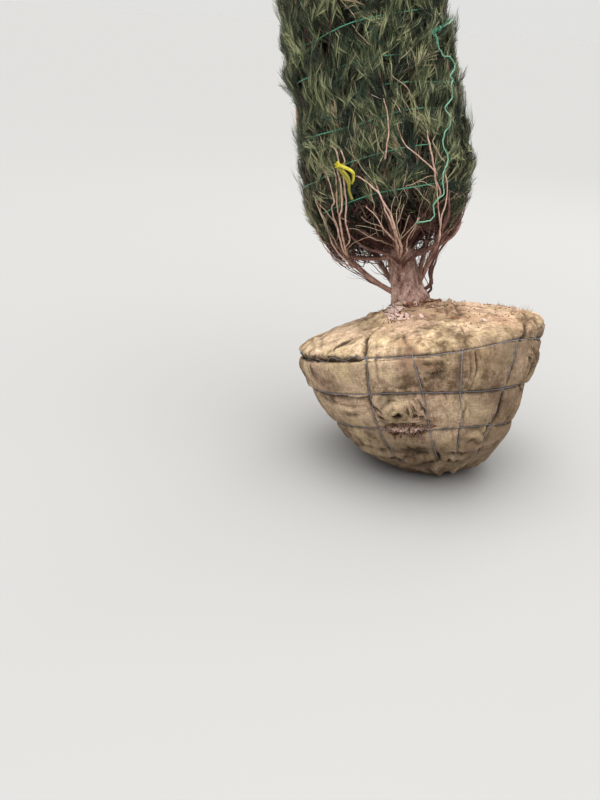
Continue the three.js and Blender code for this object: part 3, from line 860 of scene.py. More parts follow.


# Brown stains, then grey-brown dark spots, dirt and, in the band above the upper ring at the right and
# along the tear's top edge, painted shadow: turn, share in thousandths, size in mm and strength
STAINS = [
    (-102, 250, 22, 0.8), (-99, 130, 24, 0.9), (-102, -30, 24, 1), (-97, -40, 16, 0.8),
    (-93, -70, 18, 0.6), (-70, -60, 30, 0.4), (-57, 468, 45, 0.8), (-43, 351, 50, 0.8),
    (-11, 336, 40, 0.9), (-32, 157, 26, 0.6), (-88, 620, 60, 0.6), (-60, 620, 60, 0.7),
    (-150, -130, 28, 0.4), (-62, -100, 30, 0.4), (-112, 550, 60, 0.5), (30, 300, 70, 0.7),
    (110, 500, 80, 0.6), (70, -200, 60, 0.4), (160, -100, 50, 0.5), (-75, -550, 50, 0.5),
    (-50, -450, 50, 0.4), (140, 500, 60, 0.5), (0, 500, 60, 0.6),
]
DIRT_AND_SHADOW_SPOTS = [
    (-80, 311, 30, 0.5), (-74, 233, 28, 0.5), (-63, 80, 35, 0.7), (-50, 20, 30, 0.6),
    (-76, 110, 28, 0.5), (-56, 165, 30, 0.4), (-114, -119, 14, 0.5), (-82, -185, 18, 0.9),
    (-76, -170, 14, 0.6), (-58, -197, 30, 0.5), (-112, -535, 45, 0.45), (-124, -560, 30, 0.4),
    (-100, 175, 14, 0.7), (-104, 165, 12, 0.7), (-101, 60, 16, 0.6), (-103, -45, 14, 0.6),
    (-100, 20, 12, 0.5), (-152, -100, 20, 0.7), (-148, -140, 16, 0.8), (-170, 150, 12, 0.7),
    (-174, -40, 30, 0.6), (-176, -150, 35, 0.6), (-60, -330, 30, 0.5), (-92, -110, 8, 0.9),
    (-88, -100, 6, 0.8), (-120, -345, 12, 0.8), (-101, -345, 10, 0.8),
]
COLLAR_SHARE = 0.79


def spotted(base, spots, share, angle, spread, gain):
    """Base with soft round spots on it, each spread times its size."""
    for turn, at, size, much in spots:
        gap = np.hypot(*gap_to(share, angle, math.radians(turn), at / 1000))
        base = np.maximum(base, gain * much * gauss(gap, size / 1000 * spread))
    return base


def uneven_shares(start, end, count, places, extra, width):
    """Shares for lengths up the ball from start to end, closer together round some places."""
    fine = np.linspace(start, end, 2000)
    weight = np.ones(2000)
    for place in places:
        weight = weight + extra * gauss(fine - place, width)
    total = np.concatenate([[0], np.cumsum((weight[1:] + weight[:-1]) / 2)])
    return np.interp(np.interp(np.linspace(0, total[-1], count), total, fine), ARC, TABLE)


def ball_grid(shares, columns, crowd, front):
    """A grid of shares and angles, its columns closer together round the turn front."""
    theta = np.arange(columns) * TAU / columns
    angles = theta - crowd * np.sin(theta - math.radians(front))
    return np.meshgrid(shares, angles, indexing="ij")


def box_blur(grid, reach):
    """Mean over a square of cells; the rows wrap round, the columns end."""
    wide = 2 * reach + 1
    for axis, mode in enumerate(("edge", "wrap")):
        pad = [(reach + 1, reach) if a == axis else (0, 0) for a in (0, 1)]
        total = np.cumsum(np.pad(grid, pad, mode=mode), axis=axis)
        ahead = np.take(total, range(wide, total.shape[axis]), axis)
        behind = np.take(total, range(total.shape[axis] - wide), axis)
        grid = (ahead - behind) / wide
    return grid


def hem(shape):
    """Turns the open edges of the cloth in to the soil, as a thick hem."""
    loose = [v for v in shape.verts if not v.link_faces]
    bmesh.ops.delete(shape, geom=loose, context="VERTS")
    shape.normal_update()
    rims = [e for e in shape.edges if e.is_boundary]
    normals = {v: v.normal.copy() for e in rims for v in e.verts}
    for depth in (0.003, 0.010):
        grown = bmesh.ops.extrude_edge_only(shape, edges=rims)["geom"]
        rims = [g for g in grown if isinstance(g, bmesh.types.BMEdge)]
        for vert in (g for g in grown if isinstance(g, bmesh.types.BMVert)):
            nearest = min(
                (e.other_vert(vert) for e in vert.link_edges if e.other_vert(vert) in normals),
                key=lambda v: (v.co - vert.co).length,
                default=None,
            )
            if nearest is not None:
                vert.co -= normals[nearest] * depth
                normals[vert] = normals[nearest]
        rims = [e for e in rims if e.is_boundary]


def tilt_with_rings(share, angle):
    """Tilts the rows with the rings, and lets the collar's edge waver."""
    rings = RINGS[::-1]
    knots = [-1, -0.85, *(ring["share"] for ring in rings), 0.5, 1]
    right, back = (
        np.interp(share, knots, [0, 0, *(ring[way] for ring in rings), 0, 0])
        for way in ("right", "back")
    )
    share = share + (right * np.cos(angle) + back * np.sin(angle))
    wave = 0.020 * np.sin(4 * angle + 1) + 0.014 * np.sin(9 * angle) + 0.010 * np.sin(23 * angle)
    return share + wave * ease(share, COLLAR_SHARE - 0.12, COLLAR_SHARE)


def make_wrap():
    """The burlap: a net of quads round the ball, open at the collar and torn low at the front."""
    columns, rows = 548, 178
    tear = float(arc_at(TEAR_SHARE))
    places = [*(float(arc_at(ring["share"])) for ring in RINGS), tear, tear + 0.04]
    shares = uneven_shares(ARC[0], float(arc_at(COLLAR_SHARE)), rows, places, 1.5, 0.022)
    shares[0] = -1
    share, angle = ball_grid(shares, columns, 0.52, -98)
    share = tilt_with_rings(share, angle)
    across, up = gap_to(share, angle, TEAR_TURN, TEAR_SHARE)
    bearing = np.arctan2(up, across)
    edge, away = tear_edge(bearing), np.hypot(across, up)
    inside = away < edge
    quads = ring_quads(rows, columns)
    quads = quads[~inside.ravel()[quads].all(1)]
    # the vertices just inside the tear move out to its edge
    grow = np.where(inside, edge / np.maximum(away, 1e-6), 1)
    near = inside & (away > edge * 0.35)
    angle = np.where(near, TEAR_TURN + across * grow / girth_at(share), angle)
    share = np.where(near, np.interp(arc_at(TEAR_SHARE) + up * grow, ARC, TABLE), share)
    verts = wrap_surface(share, angle)
    point = ball_point(share, angle)
    relief = wrap_relief(share, angle)
    # Painted shade in the hollows of the relief, and painted highlight on its ridges where the value is
    # below zero
    hollow = np.maximum(box_blur(relief, 3), box_blur(relief, 8)) - relief
    crease = np.clip(hollow / 0.0065, 0, 1) - np.clip(-hollow / 0.011, 0, 0.6)
    # Painted shade: the slits are drawn as dark lines on the cloth
    for slit in SLITS:
        crease = np.maximum(crease, np.clip(-1.9 * slit.relief(share, angle), 0, 1))
    stain = spotted(np.zeros_like(share), STAINS, share, angle, 1.4, 1.0)
    stain = np.maximum(stain, 0.9 * gauss(np.maximum(away - edge, 0), 0.010))
    stain = np.maximum(stain, 0.8 * ease(share, COLLAR_SHARE - 0.14, COLLAR_SHARE))
    # darker near the ground, under the upper ring, in patches, and at the right, then the spots of dirt
    # and painted shadow
    patches = [Waves(size, seed)(point) for size, seed in ((0.12, 9), (0.07, 14), (0.2, 10))]
    right = ease(np.cos(angle - math.radians(-20)), 0.2, 1.0)
    damp = 0.70 * (1 - ease(verts[..., 2], 0.0, 0.40)) * (0.75 + 0.35 * patches[0])
    damp = damp + 0.31 * (1 - ease(share, -0.02, 0.06)) + 0.25 * np.clip(patches[1], 0, 1)
    damp = damp + 0.30 * np.clip(patches[2], 0, 1) * (1 - ease(share, 0.1, 0.4))
    damp = damp + 0.42 * right * (1 - ease(share, 0.0, 0.3))
    damp = np.clip(spotted(damp, DIRT_AND_SHADOW_SPOTS, share, angle, 1.3, 1.5), 0, 1)
    uv = np.stack([angle * 0.44, arc_at(share)], -1).reshape(-1, 2)
    looks = {"stain": stain, "damp": damp, "crease": crease}
    return merge(mesh_piece("burlap", verts, [quads], BURLAP, uv=uv, attributes=looks), hem)


# Cracks in the soil of the tear: ends across and up from its middle, and width, in mm
CRACKS = [
    (-80, 14, -30, 16, 3.5), (-30, 16, 25, 13, 3), (25, 13, 82, 15, 4), (12, 14, 8, -18, 3),
    (-60, -6, -20, -18, 2.5), (12, -14, 60, -10, 2.5), (-82, 10, -60, -6, 3), (50, 6, 80, -4, 2.2),
]


def make_soil():
    """The ball of soil under the cloth, rough and cracked where it shows."""
    columns, rows = 340, 165
    places = [float(arc_at(TEAR_SHARE)), ARC[-1] - 0.03]
    shares = uneven_shares(0, ARC[-1], rows, places, 4.0, 0.035)
    share, angle = ball_grid(shares, columns, 0.50, -104)
    across, up = gap_to(share, angle, TEAR_TURN, TEAR_SHARE)
    shows = gauss(across, 0.10) * gauss(up, 0.027)
    point = ball_point(share, angle)
    rough = 0.0040 * Waves(0.030, 21)(point) + 0.0022 * Waves(0.012, 22)(point)
    rough = rough + shows * 0.0035 * np.tanh(2 * Waves(0.017, 23)(point))
    crack = np.zeros_like(share)
    for x0, y0, x1, y1, wide in np.array(CRACKS) / 1000:
        way = np.array([x1 - x0, y1 - y0])
        t = np.clip(((across - x0) * way[0] + (up - y0) * way[1]) / (way @ way), 0, 1)
        waver = 0.0015 * np.sin(300 * across)
        gap = np.hypot(across - x0 - t * way[0], up - y0 - t * way[1] - waver)
        crack = np.maximum(crack, gauss(gap, wide))
    mound = ease(share, 0.70, 0.84)
    depth = -0.024 + 0.031 * shows + 0.034 * mound + (rough - 0.010 * crack)
    point = to_world(point + ball_normal(share, angle) * depth[..., None])
    point[..., 2] = np.maximum(point[..., 2], 0.006)
    # the crack mask also carries the painted shadow of the cracks
    looks = {"pale": shows, "crack": crack}
    quads = ring_quads(rows, columns)
    return merge(mesh_piece("soil_and_roots", point, [quads], SOIL, attributes=looks))


def strand(points, radius, closed=False, sides=8):
    """One plied twine: vertices, faces and a UV of round-share and metres along."""
    points = np.asarray(points)
    if closed:
        points = np.concatenate([points, points[:1]])
    steps = np.concatenate([[0], np.cumsum(np.linalg.norm(np.diff(points, axis=0), axis=1))])
    count = max(int(steps[-1] / 0.0045), 6)
    even = np.linspace(0, steps[-1], count)
    path = np.stack([np.interp(even, steps, points[:, c]) for c in range(3)], -1)
    ply = lambda k, turn: 1 + 0.16 * np.cos(PLIES * turn + k * even[1] / PLY_LENGTH * TAU)
    verts, quads, caps = tubes(path[None], np.full((1, count), radius), sides, ply)
    around = np.tile(np.arange(sides) / sides, count)
    uv = np.stack([np.append(around, [0, 0]), np.append(np.repeat(even, sides), [0, even[-1]])], -1)
    return verts, quads, caps, uv


def twine_piece(name, strands, paint):
    verts, quads, tris = joined([s[:3] for s in strands])
    uv = np.concatenate([s[3] for s in strands])
    return mesh_piece(name, verts, [quads, tris], paint, uv=uv)


def knot(middle, size, radius, seed):
    """A small tangle of twine: a trefoil round a point."""
    t = np.linspace(0, TAU, 60, endpoint=False)
    loop = np.stack(
        [np.sin(t) + 2 * np.sin(2 * t), np.cos(t) - 2 * np.cos(2 * t), -np.sin(3 * t)], -1
    )
    turn = np.linalg.qr(np.random.default_rng(seed).normal(size=(3, 3)))[0]
    return strand(middle + loop @ turn.T * size / 3, radius, closed=True)


def laid(share, angle, sunk, closed):
    """A twine along the cloth, its path smoothed and kept off the ground."""
    path = wrap_surface(share, angle, above=LACE_RADIUS * sunk)
    for _ in range(3):
        if closed:
            path = (np.roll(path, 1, 0) + 2 * path + np.roll(path, -1, 0)) / 4
        else:
            path[1:-1] = (path[:-2] + 2 * path[1:-1] + path[2:]) / 4
    path[:, 2] = np.maximum(path[:, 2], 0.004)
    return strand(path, LACE_RADIUS, closed=closed)


def make_lacing():
    strands = []
    for ring in RINGS:
        a = np.linspace(0, TAU, 420, endpoint=False)
        sunk = 0.9 - 1.0 * (ring is RINGS[0]) * ease(-np.cos(a - math.radians(30)), 0.75, 0.95)
        strands.append(laid(ring_share(ring, a), a, sunk, True))
    for n, upright in enumerate(UPRIGHTS):
        s = np.linspace(*UPRIGHT_SPAN, 220)
        # above the upper ring the cloth's folds half bury it
        top = ring_share(RINGS[0], upright["turn"])
        sunk = 0.9 - (2.5 - 0.5 * np.sin(25 * s + 3 * n)) * ease(s - top, 0.02, 0.08)
        sunk = sunk - 0.5 * ease(-s, 0.48, 0.55)
        strands.append(laid(s, upright_angle(upright, s), sunk, False))
        for k, ring in enumerate(RINGS):
            at = np.array([ring_share(ring, upright["turn"])])
            where = wrap_surface(at, upright_angle(upright, at), 0.002)[0]
            strands.append(knot(where, 0.0036, LACE_RADIUS * 0.8, n * 7 + k * 20 + 60))
    return twine_piece("ball_lacing", strands, LACE)


def thread_paths(foot, normal, length, lift, drop, r):
    """Curved threads from points on the cloth."""
    stray = unit(r.normal(size=(len(foot), 3)))
    bend = foot + (normal * lift + stray * 0.5) * length * 0.6
    end = foot + (normal * lift * 0.7 + stray * 0.8 - UP * drop) * length
    return bezier(foot, bend, end, 6)


def make_fibres():
    """Frayed jute at the tear, the ruffles and the collar, and loose threads on the cloth."""
    r = np.random.default_rng(31)
    rad = np.radians
    bearing = np.concatenate([r.uniform(0, TAU, 36), r.normal(-math.pi / 2, 0.9, 44)])
    # shares and angles of the feet, shortest and longest, and how far they lift and drop
    plans = [(*in_tear(bearing), (0.006, 0.020), 0.35, 0.9)]
    along = r.uniform(0, 1, 260)
    turn = np.interp(along, [0, 0.5, 1], [-29, -35, -45]) + r.normal(0, 1.6, 260)
    plans += [
        (mix(0.32, -0.24, along), rad(turn), (0.006, 0.022), 0.5, 0.5),
        (r.uniform(0.25, 0.5, 120), rad(r.uniform(-24, 2, 120)), (0.008, 0.026), 0.8, 0.2),
        (r.uniform(0.72, 0.79, 150), r.uniform(0, TAU, 150), (0.010, 0.034), 0.6, 0.4),
        (r.uniform(-0.6, 0.7, 130), r.uniform(0, TAU, 130), (0.008, 0.035), 0.2, 0.5),
    ]
    turn = r.normal(-112, 8, 90)
    plans.append((r.normal(-0.458, 0.014, 90), rad(turn), (0.004, 0.011), 0.45, 0.3))
    turn = r.uniform(-107.5, -99.5, 46)
    plans.append((r.uniform(-0.345, -0.275, 46), rad(turn), (0.008, 0.020), 0.25, 0.8))
    along = r.uniform(0, 1, 90)
    turn = mix(-73, -83, along) + r.normal(0, 0.9, 90)
    plans.append((mix(-0.02, -0.42, along), rad(turn), (0.004, 0.014), 0.3, 0.3))
    turn = r.normal(-91, 3.2, 70)
    plans += [
        (r.normal(-0.085, 0.022, 70), rad(turn), (0.004, 0.011), 0.3, 0.4),
        (r.normal(-0.335, 0.012, 40), rad(r.normal(-103, 2.4, 40)), (0.006, 0.016), 0.2, 0.2),
    ]
    paths = []
    for share, angle, (short, long), lift, drop in plans:
        foot = wrap_surface(share, angle, -0.001)
        normal = ball_normal(share, angle) @ TURN.T
        length = r.uniform(short, long, len(share))[:, None]
        paths.append(thread_paths(foot, normal, length, lift, drop, r))
    paths = np.concatenate(paths)
    paths = paths[paths[..., 2].min(1) > 0.002]
    radii = np.linspace(0.00065, 0.0004, 6)[None].repeat(len(paths), 0)
    verts, quads, caps = tubes(paths, radii, 4)
    return mesh_piece("jute_fibres", verts, [quads, caps], JUTE)


def chip_boxes(name, paint, centres, normals, sizes, r):
    """A piece of small broken slabs, one at each centre, lying roughly along the surface."""
    n = len(centres)
    corners = np.array([[x, y, z] for z in (-1, 1) for y in (-1, 1) for x in (-1, 1)], float)
    shape = corners[None] * (1 + r.uniform(-0.45, 0.1, (n, 8, 3)))
    shape = shape * sizes[:, None] / 2
    tilt = unit(normals + 0.45 * r.normal(size=(n, 3)))
    along = unit(np.cross(tilt, r.normal(size=(n, 3))))
    turn = np.stack([along, np.cross(tilt, along), tilt], -1)
    verts = centres[:, None] + np.einsum("nij,nkj->nki", turn, shape)
    box = np.array(
        [[0, 2, 3, 1], [4, 5, 7, 6], [0, 1, 5, 4], [2, 6, 7, 3], [0, 4, 6, 2], [1, 3, 7, 5]]
    )
    quads = (box[None] + (np.arange(n) * 8)[:, None, None]).reshape(-1, 4)
    return mesh_piece(name, verts, [quads], paint, smooth=False)


# The spill of chips from the front left of the trunk: turns and shares of its middle
SPILL_TURN, SPILL_SHARE = [-139, -128, -119, -105], [0.80, 0.72, 0.637, 0.557]
# Name, paint, count, sizes, and the shares in the spill and thinly over the dome
CHIP_PLANS = [
    ("bark_chips_rust", RUST_CHIP, 210, (0.006, 0.020), 0.40, 0.14),
    ("bark_chips_tan", TAN_CHIP, 190, (0.006, 0.024), 0.45, 0.30),
    ("wood_chips_pale", PALE_CHIP, 330, (0.007, 0.026), 0.88, 0.03),
    ("soil_crumbs", CRUMB, 1300, (0.002, 0.006), 0.30, 0.26),
]


def make_chips():
    """Bark and wood chips and crumbs of soil that lie on the ball, round the trunk."""
    r = np.random.default_rng(41)
    pieces = []
    for name, paint, count, (small, large), spilt, strewn in CHIP_PLANS:
        share = 1 - np.abs(r.normal(0, 0.09, count)) - 0.10
        angle = r.uniform(0, TAU, count)
        way = r.random(count)
        along = r.beta(1.1, 1.6, count) * 3
        turn = np.interp(along, range(4), SPILL_TURN) + r.normal(0, 5, count)
        middle = np.interp(along, range(4), SPILL_SHARE) + r.normal(0, 0.03, count)
        spill, thin = way < spilt, way > 1 - strewn
        angle = np.where(spill, np.radians(turn), angle)
        angle = np.where(thin, np.radians(r.uniform(-75, 90, count)), angle)
        share = np.where(thin, r.uniform(0.30, 0.78, count), np.where(spill, middle, share))
        share = np.clip(share, 0.02, 0.92)
        size = r.uniform(0, 1, count) ** 2 * (large - small) + small
        sizes = [size, size * r.uniform(0.3, 0.7, count), size * r.uniform(0.12, 0.3, count)]
        sizes = np.stack(sizes, -1)
        if paint is CRUMB:
            sizes[:, 1:] = size[:, None] * r.uniform(0.6, 1.0, (count, 2))
        lift = np.where(share > COLLAR_SHARE, 0.010, sizes[:, 2] * 0.3)
        normal = ball_normal(share, angle) @ TURN.T
        where = wrap_surface(share, angle) + normal * lift[:, None]
        pieces.append(chip_boxes(name, paint, where, normal, sizes, r))
    n = 260
    bearing, out = r.uniform(0, TAU, n), r.uniform(0, 0.95, n) ** 0.6
    share, angle = in_tear(bearing, out)
    size = r.uniform(0.002, 0.007, n)
    normal = ball_normal(share, angle)
    where = to_world(ball_point(share, angle) + normal * (-0.002 + 0.2 * size)[:, None])
    sizes = size[:, None] * r.uniform(0.6, 1.0, (n, 3))
    crumbs = chip_boxes("crumbs_in_the_tear", PINK_CRUMB, where, normal @ TURN.T, sizes, r)
    return [*pieces, crumbs]


# Trunk and boughs


def trunk_centre(height):
    height = np.asarray(height, float)
    up = np.maximum(height, 0)
    return np.stack(
        [-0.046 * (1 - np.exp(-up / 0.38)), 0.009 * np.sin(up / 0.42), height], -1
    )


def round_trunk(height, turn, radius):
    """Points at a turn and a distance from the trunk's centre line."""
    point = trunk_centre(height)
    point[..., 0] += radius * np.cos(turn)
    point[..., 1] += radius * np.sin(turn)
    return point


def about_trunk(points):
    """How far points are off the trunk's centre line (x, y), their turn and their distance."""
    gap = (points - trunk_centre(points[..., 2]))[..., :2]
    return gap, np.arctan2(gap[..., 1], gap[..., 0]), np.hypot(gap[..., 0], gap[..., 1])


def outwards(points):
    """Level unit vectors at some points: away from the trunk, and round it."""
    out = unit((points - trunk_centre(points[:, 2])) * [1, 1, 0])
    return out, np.stack([-out[:, 1], out[:, 0], np.zeros(len(points))], -1)


def trunk_radius(height):
    up = np.maximum(height, 0)
    return TRUNK_RADIUS * (1 - up / (TREE_HEIGHT + 0.09)) ** 0.85 + FLARE * np.exp(-up / 0.06)


def crown_radius(height, turn=None):
    """The tied crown's outline; with a turn, as it is tucked in at the right of its foot."""
    height = np.asarray(height, float)
    low = np.clip((WIDEST_AT - height) / BOWL_OF_CROWN, 0, 1)
    high = np.clip((height - WIDEST_AT) / (TREE_HEIGHT + 0.04 - WIDEST_AT), 0, 1)
    radius = CROWN_RADIUS * (1 - low**3.2) * (1 - high**2.3)
    if turn is not None:
        depth = np.clip(1 - height / TUCK_BELOW, 0, 1)
        radius = radius * (1 - depth**2 * np.maximum(np.cos(turn - TUCK_TURN), 0))
    return radius


def on_crown(turn, height, out, tucked=True):
    """Tree-frame points at an azimuth in radians, a height and a share of the crown's radius."""
    turn, height, out = np.broadcast_arrays(turn, height, out)
    return round_trunk(height, turn, crown_radius(height, turn if tucked else None) * out)


TIER_PLAN = (
    "needles", "boughs", "masses", "turn", "start", "stagger", "radius", "run", "tip", "deep",
    "rise", "swell",
)
TIERS = [
    dict(zip(TIER_PLAN, values))
    for values in (
        ("skirt", "second", 5, -64, 0.150, 0.028, 0.0100, 0.88, 0.8, 0.100, 1.75, 3.4),
        ("lower", "lowest", 5, -100, -0.020, 0.022, 0.0110, 0.985, 0.9, 0.075, 1.115, 2.7),
        ("middle", "third", 4, -60, 0.455, 0.025, 0.0100, 0.31, 0.7, 0.110, 1.75, 3.4),
        ("upper", "fourth", 4, -100, 0.850, 0.025, 0.0095, 0.29, 0.7, 0.110, 1.75, 3.4),
        ("high", "fifth", 3, -70, 1.270, 0.022, 0.0090, 0.3, 0.72, 0.110, 1.75, 3.4),
    )
]
EDGES = [0.262, 0.690, 1.150, 1.600, 2.010, 2.390]  # heights between the tiers of needles
FRONT_OPENING = 0.095
FRONT_TURN = math.radians(-95)
SIDES = {
    5: ["front", "right", "back_right", "back_left", "left"],
    4: ["front", "right", "back", "left"],
    3: ["front", "back_right", "back_left"],
}
THINNEST = 0.45  # of a bough's radius, where its leader starts


def make_trunk():
    sides, rings = 96, 600
    heights = mix(-SEAT_DEPTH, TREE_HEIGHT - 0.05, np.linspace(0, 1, rings) ** 1.6)
    h, a = np.meshgrid(heights, np.arange(sides) * TAU / sides, indexing="ij")
    near = np.exp(-np.maximum(h + SEAT_DEPTH, 0) / 0.15)
    r = trunk_radius(h) * (1 + 0.1 * near * np.cos(5 * a + 0.7))
    # whorl collars where the boughs leave, then plates and fissures of bark
    for tier in TIERS:
        r = r * (1 + 0.05 * gauss(h - tier["start"] - 0.02, 0.03))
    ring = np.stack([np.cos(a) * 0.05, np.sin(a) * 0.05, h], -1)
    plates = Waves(0.016, 51, 26, (1, 1, 3.2))(ring)
    flakes = Waves(0.006, 52, 26, (1, 1, 2.0))(ring)
    age = np.clip(1 - h / 1.6, 0.25, 1)
    r = r + age * (0.0026 * np.tanh(2.5 * plates) + 0.0012 * flakes)
    ends = trunk_centre(heights[[0, -1]])
    verts = np.concatenate([round_trunk(h, a, r).reshape(-1, 3), ends])
    faces = [ring_quads(rings, sides), end_fans(rings, sides)]
    return mesh_piece("trunk_bark", to_world(verts), faces, BARK)


def edge_height(edge, angle):
    """The height of an edge between tiers, uneven and raised at the front of the lowest."""
    uneven = 0.024 * np.sin(2 * angle + edge * 1.7) + 0.013 * np.sin(5 * angle + edge * 2.9)
    opened = FRONT_OPENING * np.maximum(-np.sin(angle + 0.1), 0) ** 2 if edge == 0 else 0.0
    return EDGES[edge] + uneven + opened


class Bough:
    """A bough of the CAD: its centre line and radius for a share of its length."""

    def __init__(self, tier, index):
        plan = TIERS[tier]
        masses = plan["masses"]
        self.tier, self.radius = tier, plan["radius"]
        self.degrees = plan["turn"] + index * 360 / masses
        self.turn = math.radians(self.degrees)
        side = SIDES[masses][index]
        self.node, self.mass = f"bough_{plan['boughs']}_{side}", f"needles_{plan['needles']}_{side}"
        frontness = max(math.cos(self.turn - FRONT_TURN), 0) ** 2
        self.start = plan["start"] + plan["stagger"] * ((index * 2) % masses) / masses
        self.start += 0.075 * frontness
        self.lower, self.upper = (float(edge_height(tier + k, self.turn)) for k in (0, 1))
        self.to = self.lower + plan["deep"]
        self.wide = float(crown_radius(self.to, self.turn))
        self.run, self.tip = self.wide * plan["run"], self.wide * plan["tip"]
        self.rise = mix(plan["rise"] - 0.085 * math.cos(self.turn), 1.1, frontness)
        self.swell = mix(plan["swell"] - 0.3 * math.cos(self.turn), 1.7, frontness)

    def point(self, share):
        height = mix(self.start, self.to, share**self.rise)
        out = self.run * (1 - (1 - share) ** self.swell) + (self.tip - self.run) * share**5
        angle = self.turn + np.radians(2.2 * np.sin(share * 7 + self.degrees))
        return round_trunk(height, angle, out)

    def limb(self):
        """The whole limb: the bough and its leader through the mass that it feeds."""
        share, more = np.linspace(0, 1, 44), np.linspace(0, 1, 14)[1:]
        height = mix(self.to, self.upper - 0.02, more)
        out = mix(self.tip / self.wide, 0.72, more)
        leader = on_crown(self.turn + 0.05 * np.sin(more * 5 + self.degrees), height, out)
        thinning = self.radius * mix(1, THINNEST, share**0.9)
        radius = [thinning, self.radius * THINNEST * mix(1, 0.30, more)]
        return np.concatenate([self.point(share), leader]), np.concatenate(radius)


BOUGHS = [Bough(t, i) for t, tier in enumerate(TIERS) for i in range(tier["masses"])]


def make_bough(bough):
    path, radius = bough.limb()
    wander = Waves(0.12, 61)(path)[:, None] * unit(np.gradient(path, axis=0))[:, [1, 2, 0]]
    path = path + 0.003 * wander * np.linspace(0, 1, len(path))[:, None]
    knobs = lambda k, turn: (
        1 + 0.05 * np.sin(k * 0.9 + 2 * turn) + 0.035 * np.sin(k * 2.3 - 3 * turn)
    )
    fat = radius * (1 + 0.35 * np.exp(-np.arange(len(radius)) / 1.6))
    verts, quads, caps = tubes(to_world(path)[None], fat[None], 12, knobs)
    return mesh_piece("bark_" + bough.node, verts, [quads, caps], LIMB_BARK)


# Bare limbs that show at the foot of the crown: thick and thin radii in tenths of a millimetre,
# then turn, height in mm and percent of the crown's radius; each leaves the nearest bough or
# the trunk below its first place
BARE_LIMBS = [
    (30, 16, [(-151, 165, 96), (-152.7, 201, 98), (-152.1, 235, 100), (-149.8, 290, 100),
      (-148.5, 331, 102), (-149.7, 377, 102), (-153.7, 415, 100)]),
    (24, 14, [(-162, 160, 96), (-170.5, 174, 100), (-167.3, 202, 102), (-167.5, 235, 103),
      (-162.1, 272, 104), (-161.1, 309, 102)]),
    (32, 18, [(-144.8, 205, 97), (-139.2, 257, 100), (-137.2, 296, 100), (-138.2, 324, 100),
      (-135.7, 358, 101), (-132.5, 371, 101), (-132.6, 420, 101), (-133.9, 455, 100), (-137.1, 482, 97)]),
    (40, 28, [(-143.2, 208, 95), (-138.4, 240, 98), (-134.7, 278, 100), (-132.6, 316, 100),
      (-129, 338, 100), (-126.2, 380, 100), (-125, 425, 100), (-125.1, 468, 100), (-123.2, 496, 100),
      (-123.7, 530, 100), (-127.1, 559, 98)]),
    (32, 22, [(-134.1, 236, 93), (-130, 289, 98), (-126.6, 320, 100), (-123.9, 365, 100),
      (-122.4, 408, 100), (-122, 456, 100), (-119.7, 493, 100), (-119.1, 502, 100), (-120.5, 534, 100),
      (-123.9, 559, 97)]),
    (24, 16, [(-132.7, 322, 98), (-130.5, 377, 100), (-127.9, 423, 100), (-127.3, 461, 100),
      (-129.4, 492, 97)]),
    (44, 24, [(-91.9, 178, 80), (-92, 203, 90), (-94, 233, 97), (-95, 276, 100), (-96.3, 313, 100),
      (-99.1, 345, 101), (-100.6, 376, 101), (-103.7, 396, 101), (-107.1, 418, 100), (-110.9, 436, 100),
      (-114.2, 446, 97)]),
    (36, 22, [(-95.2, 183, 80), (-95, 208, 90), (-95.2, 242, 97), (-96.8, 280, 100), (-98.6, 315, 100),
      (-99.4, 342, 100), (-100.4, 373, 100), (-101.2, 401, 99)]),
    (24, 14, [(-96.1, 208, 85), (-99.7, 236, 95), (-103, 265, 100), (-104.5, 296, 100), (-108, 322, 100),
      (-111.2, 341, 97)]),
    (26, 14, [(-86.5, 169, 75), (-86.5, 187, 82), (-85.3, 216, 90), (-81.2, 244, 95), (-76.9, 278, 96)]),
    (30, 18, [(-94.4, 483, 93), (-91.8, 515, 100), (-89.2, 564, 101), (-88.9, 600, 100),
      (-88.8, 632, 100), (-89.2, 668, 100), (-89.4, 690, 95)]),
    (34, 18, [(-57.8, 196, 93), (-58.2, 222, 95), (-59, 247, 97), (-58.2, 280, 98), (-55.5, 305, 99),
      (-54, 341, 99), (-53.8, 378, 99), (-53.4, 420, 98), (-52, 461, 95)]),
    (28, 16, [(-57.3, 222, 93), (-59, 256, 96), (-60.8, 293, 98), (-61.9, 329, 99), (-61.5, 369, 98),
      (-62.4, 403, 98)]),
    (34, 22, [(-57.1, 343, 93), (-61.8, 396, 98), (-62.8, 422, 100), (-63.8, 455, 101), (-64.4, 491, 101),
      (-64.9, 524, 101), (-65, 539, 100), (-64.9, 568, 100), (-68.2, 592, 100), (-71.5, 612, 98),
      (-74.1, 626, 95)]),
    (26, 16, [(-59.4, 410, 95), (-64, 432, 100), (-69.6, 461, 101), (-73.5, 484, 101), (-79.2, 509, 101),
      (-81.8, 540, 100), (-83, 567, 100), (-82.7, 594, 97)]),
    (24, 14, [(-76.2, 609, 93), (-79.6, 626, 100), (-81.7, 645, 100), (-84.8, 677, 97)]),
]
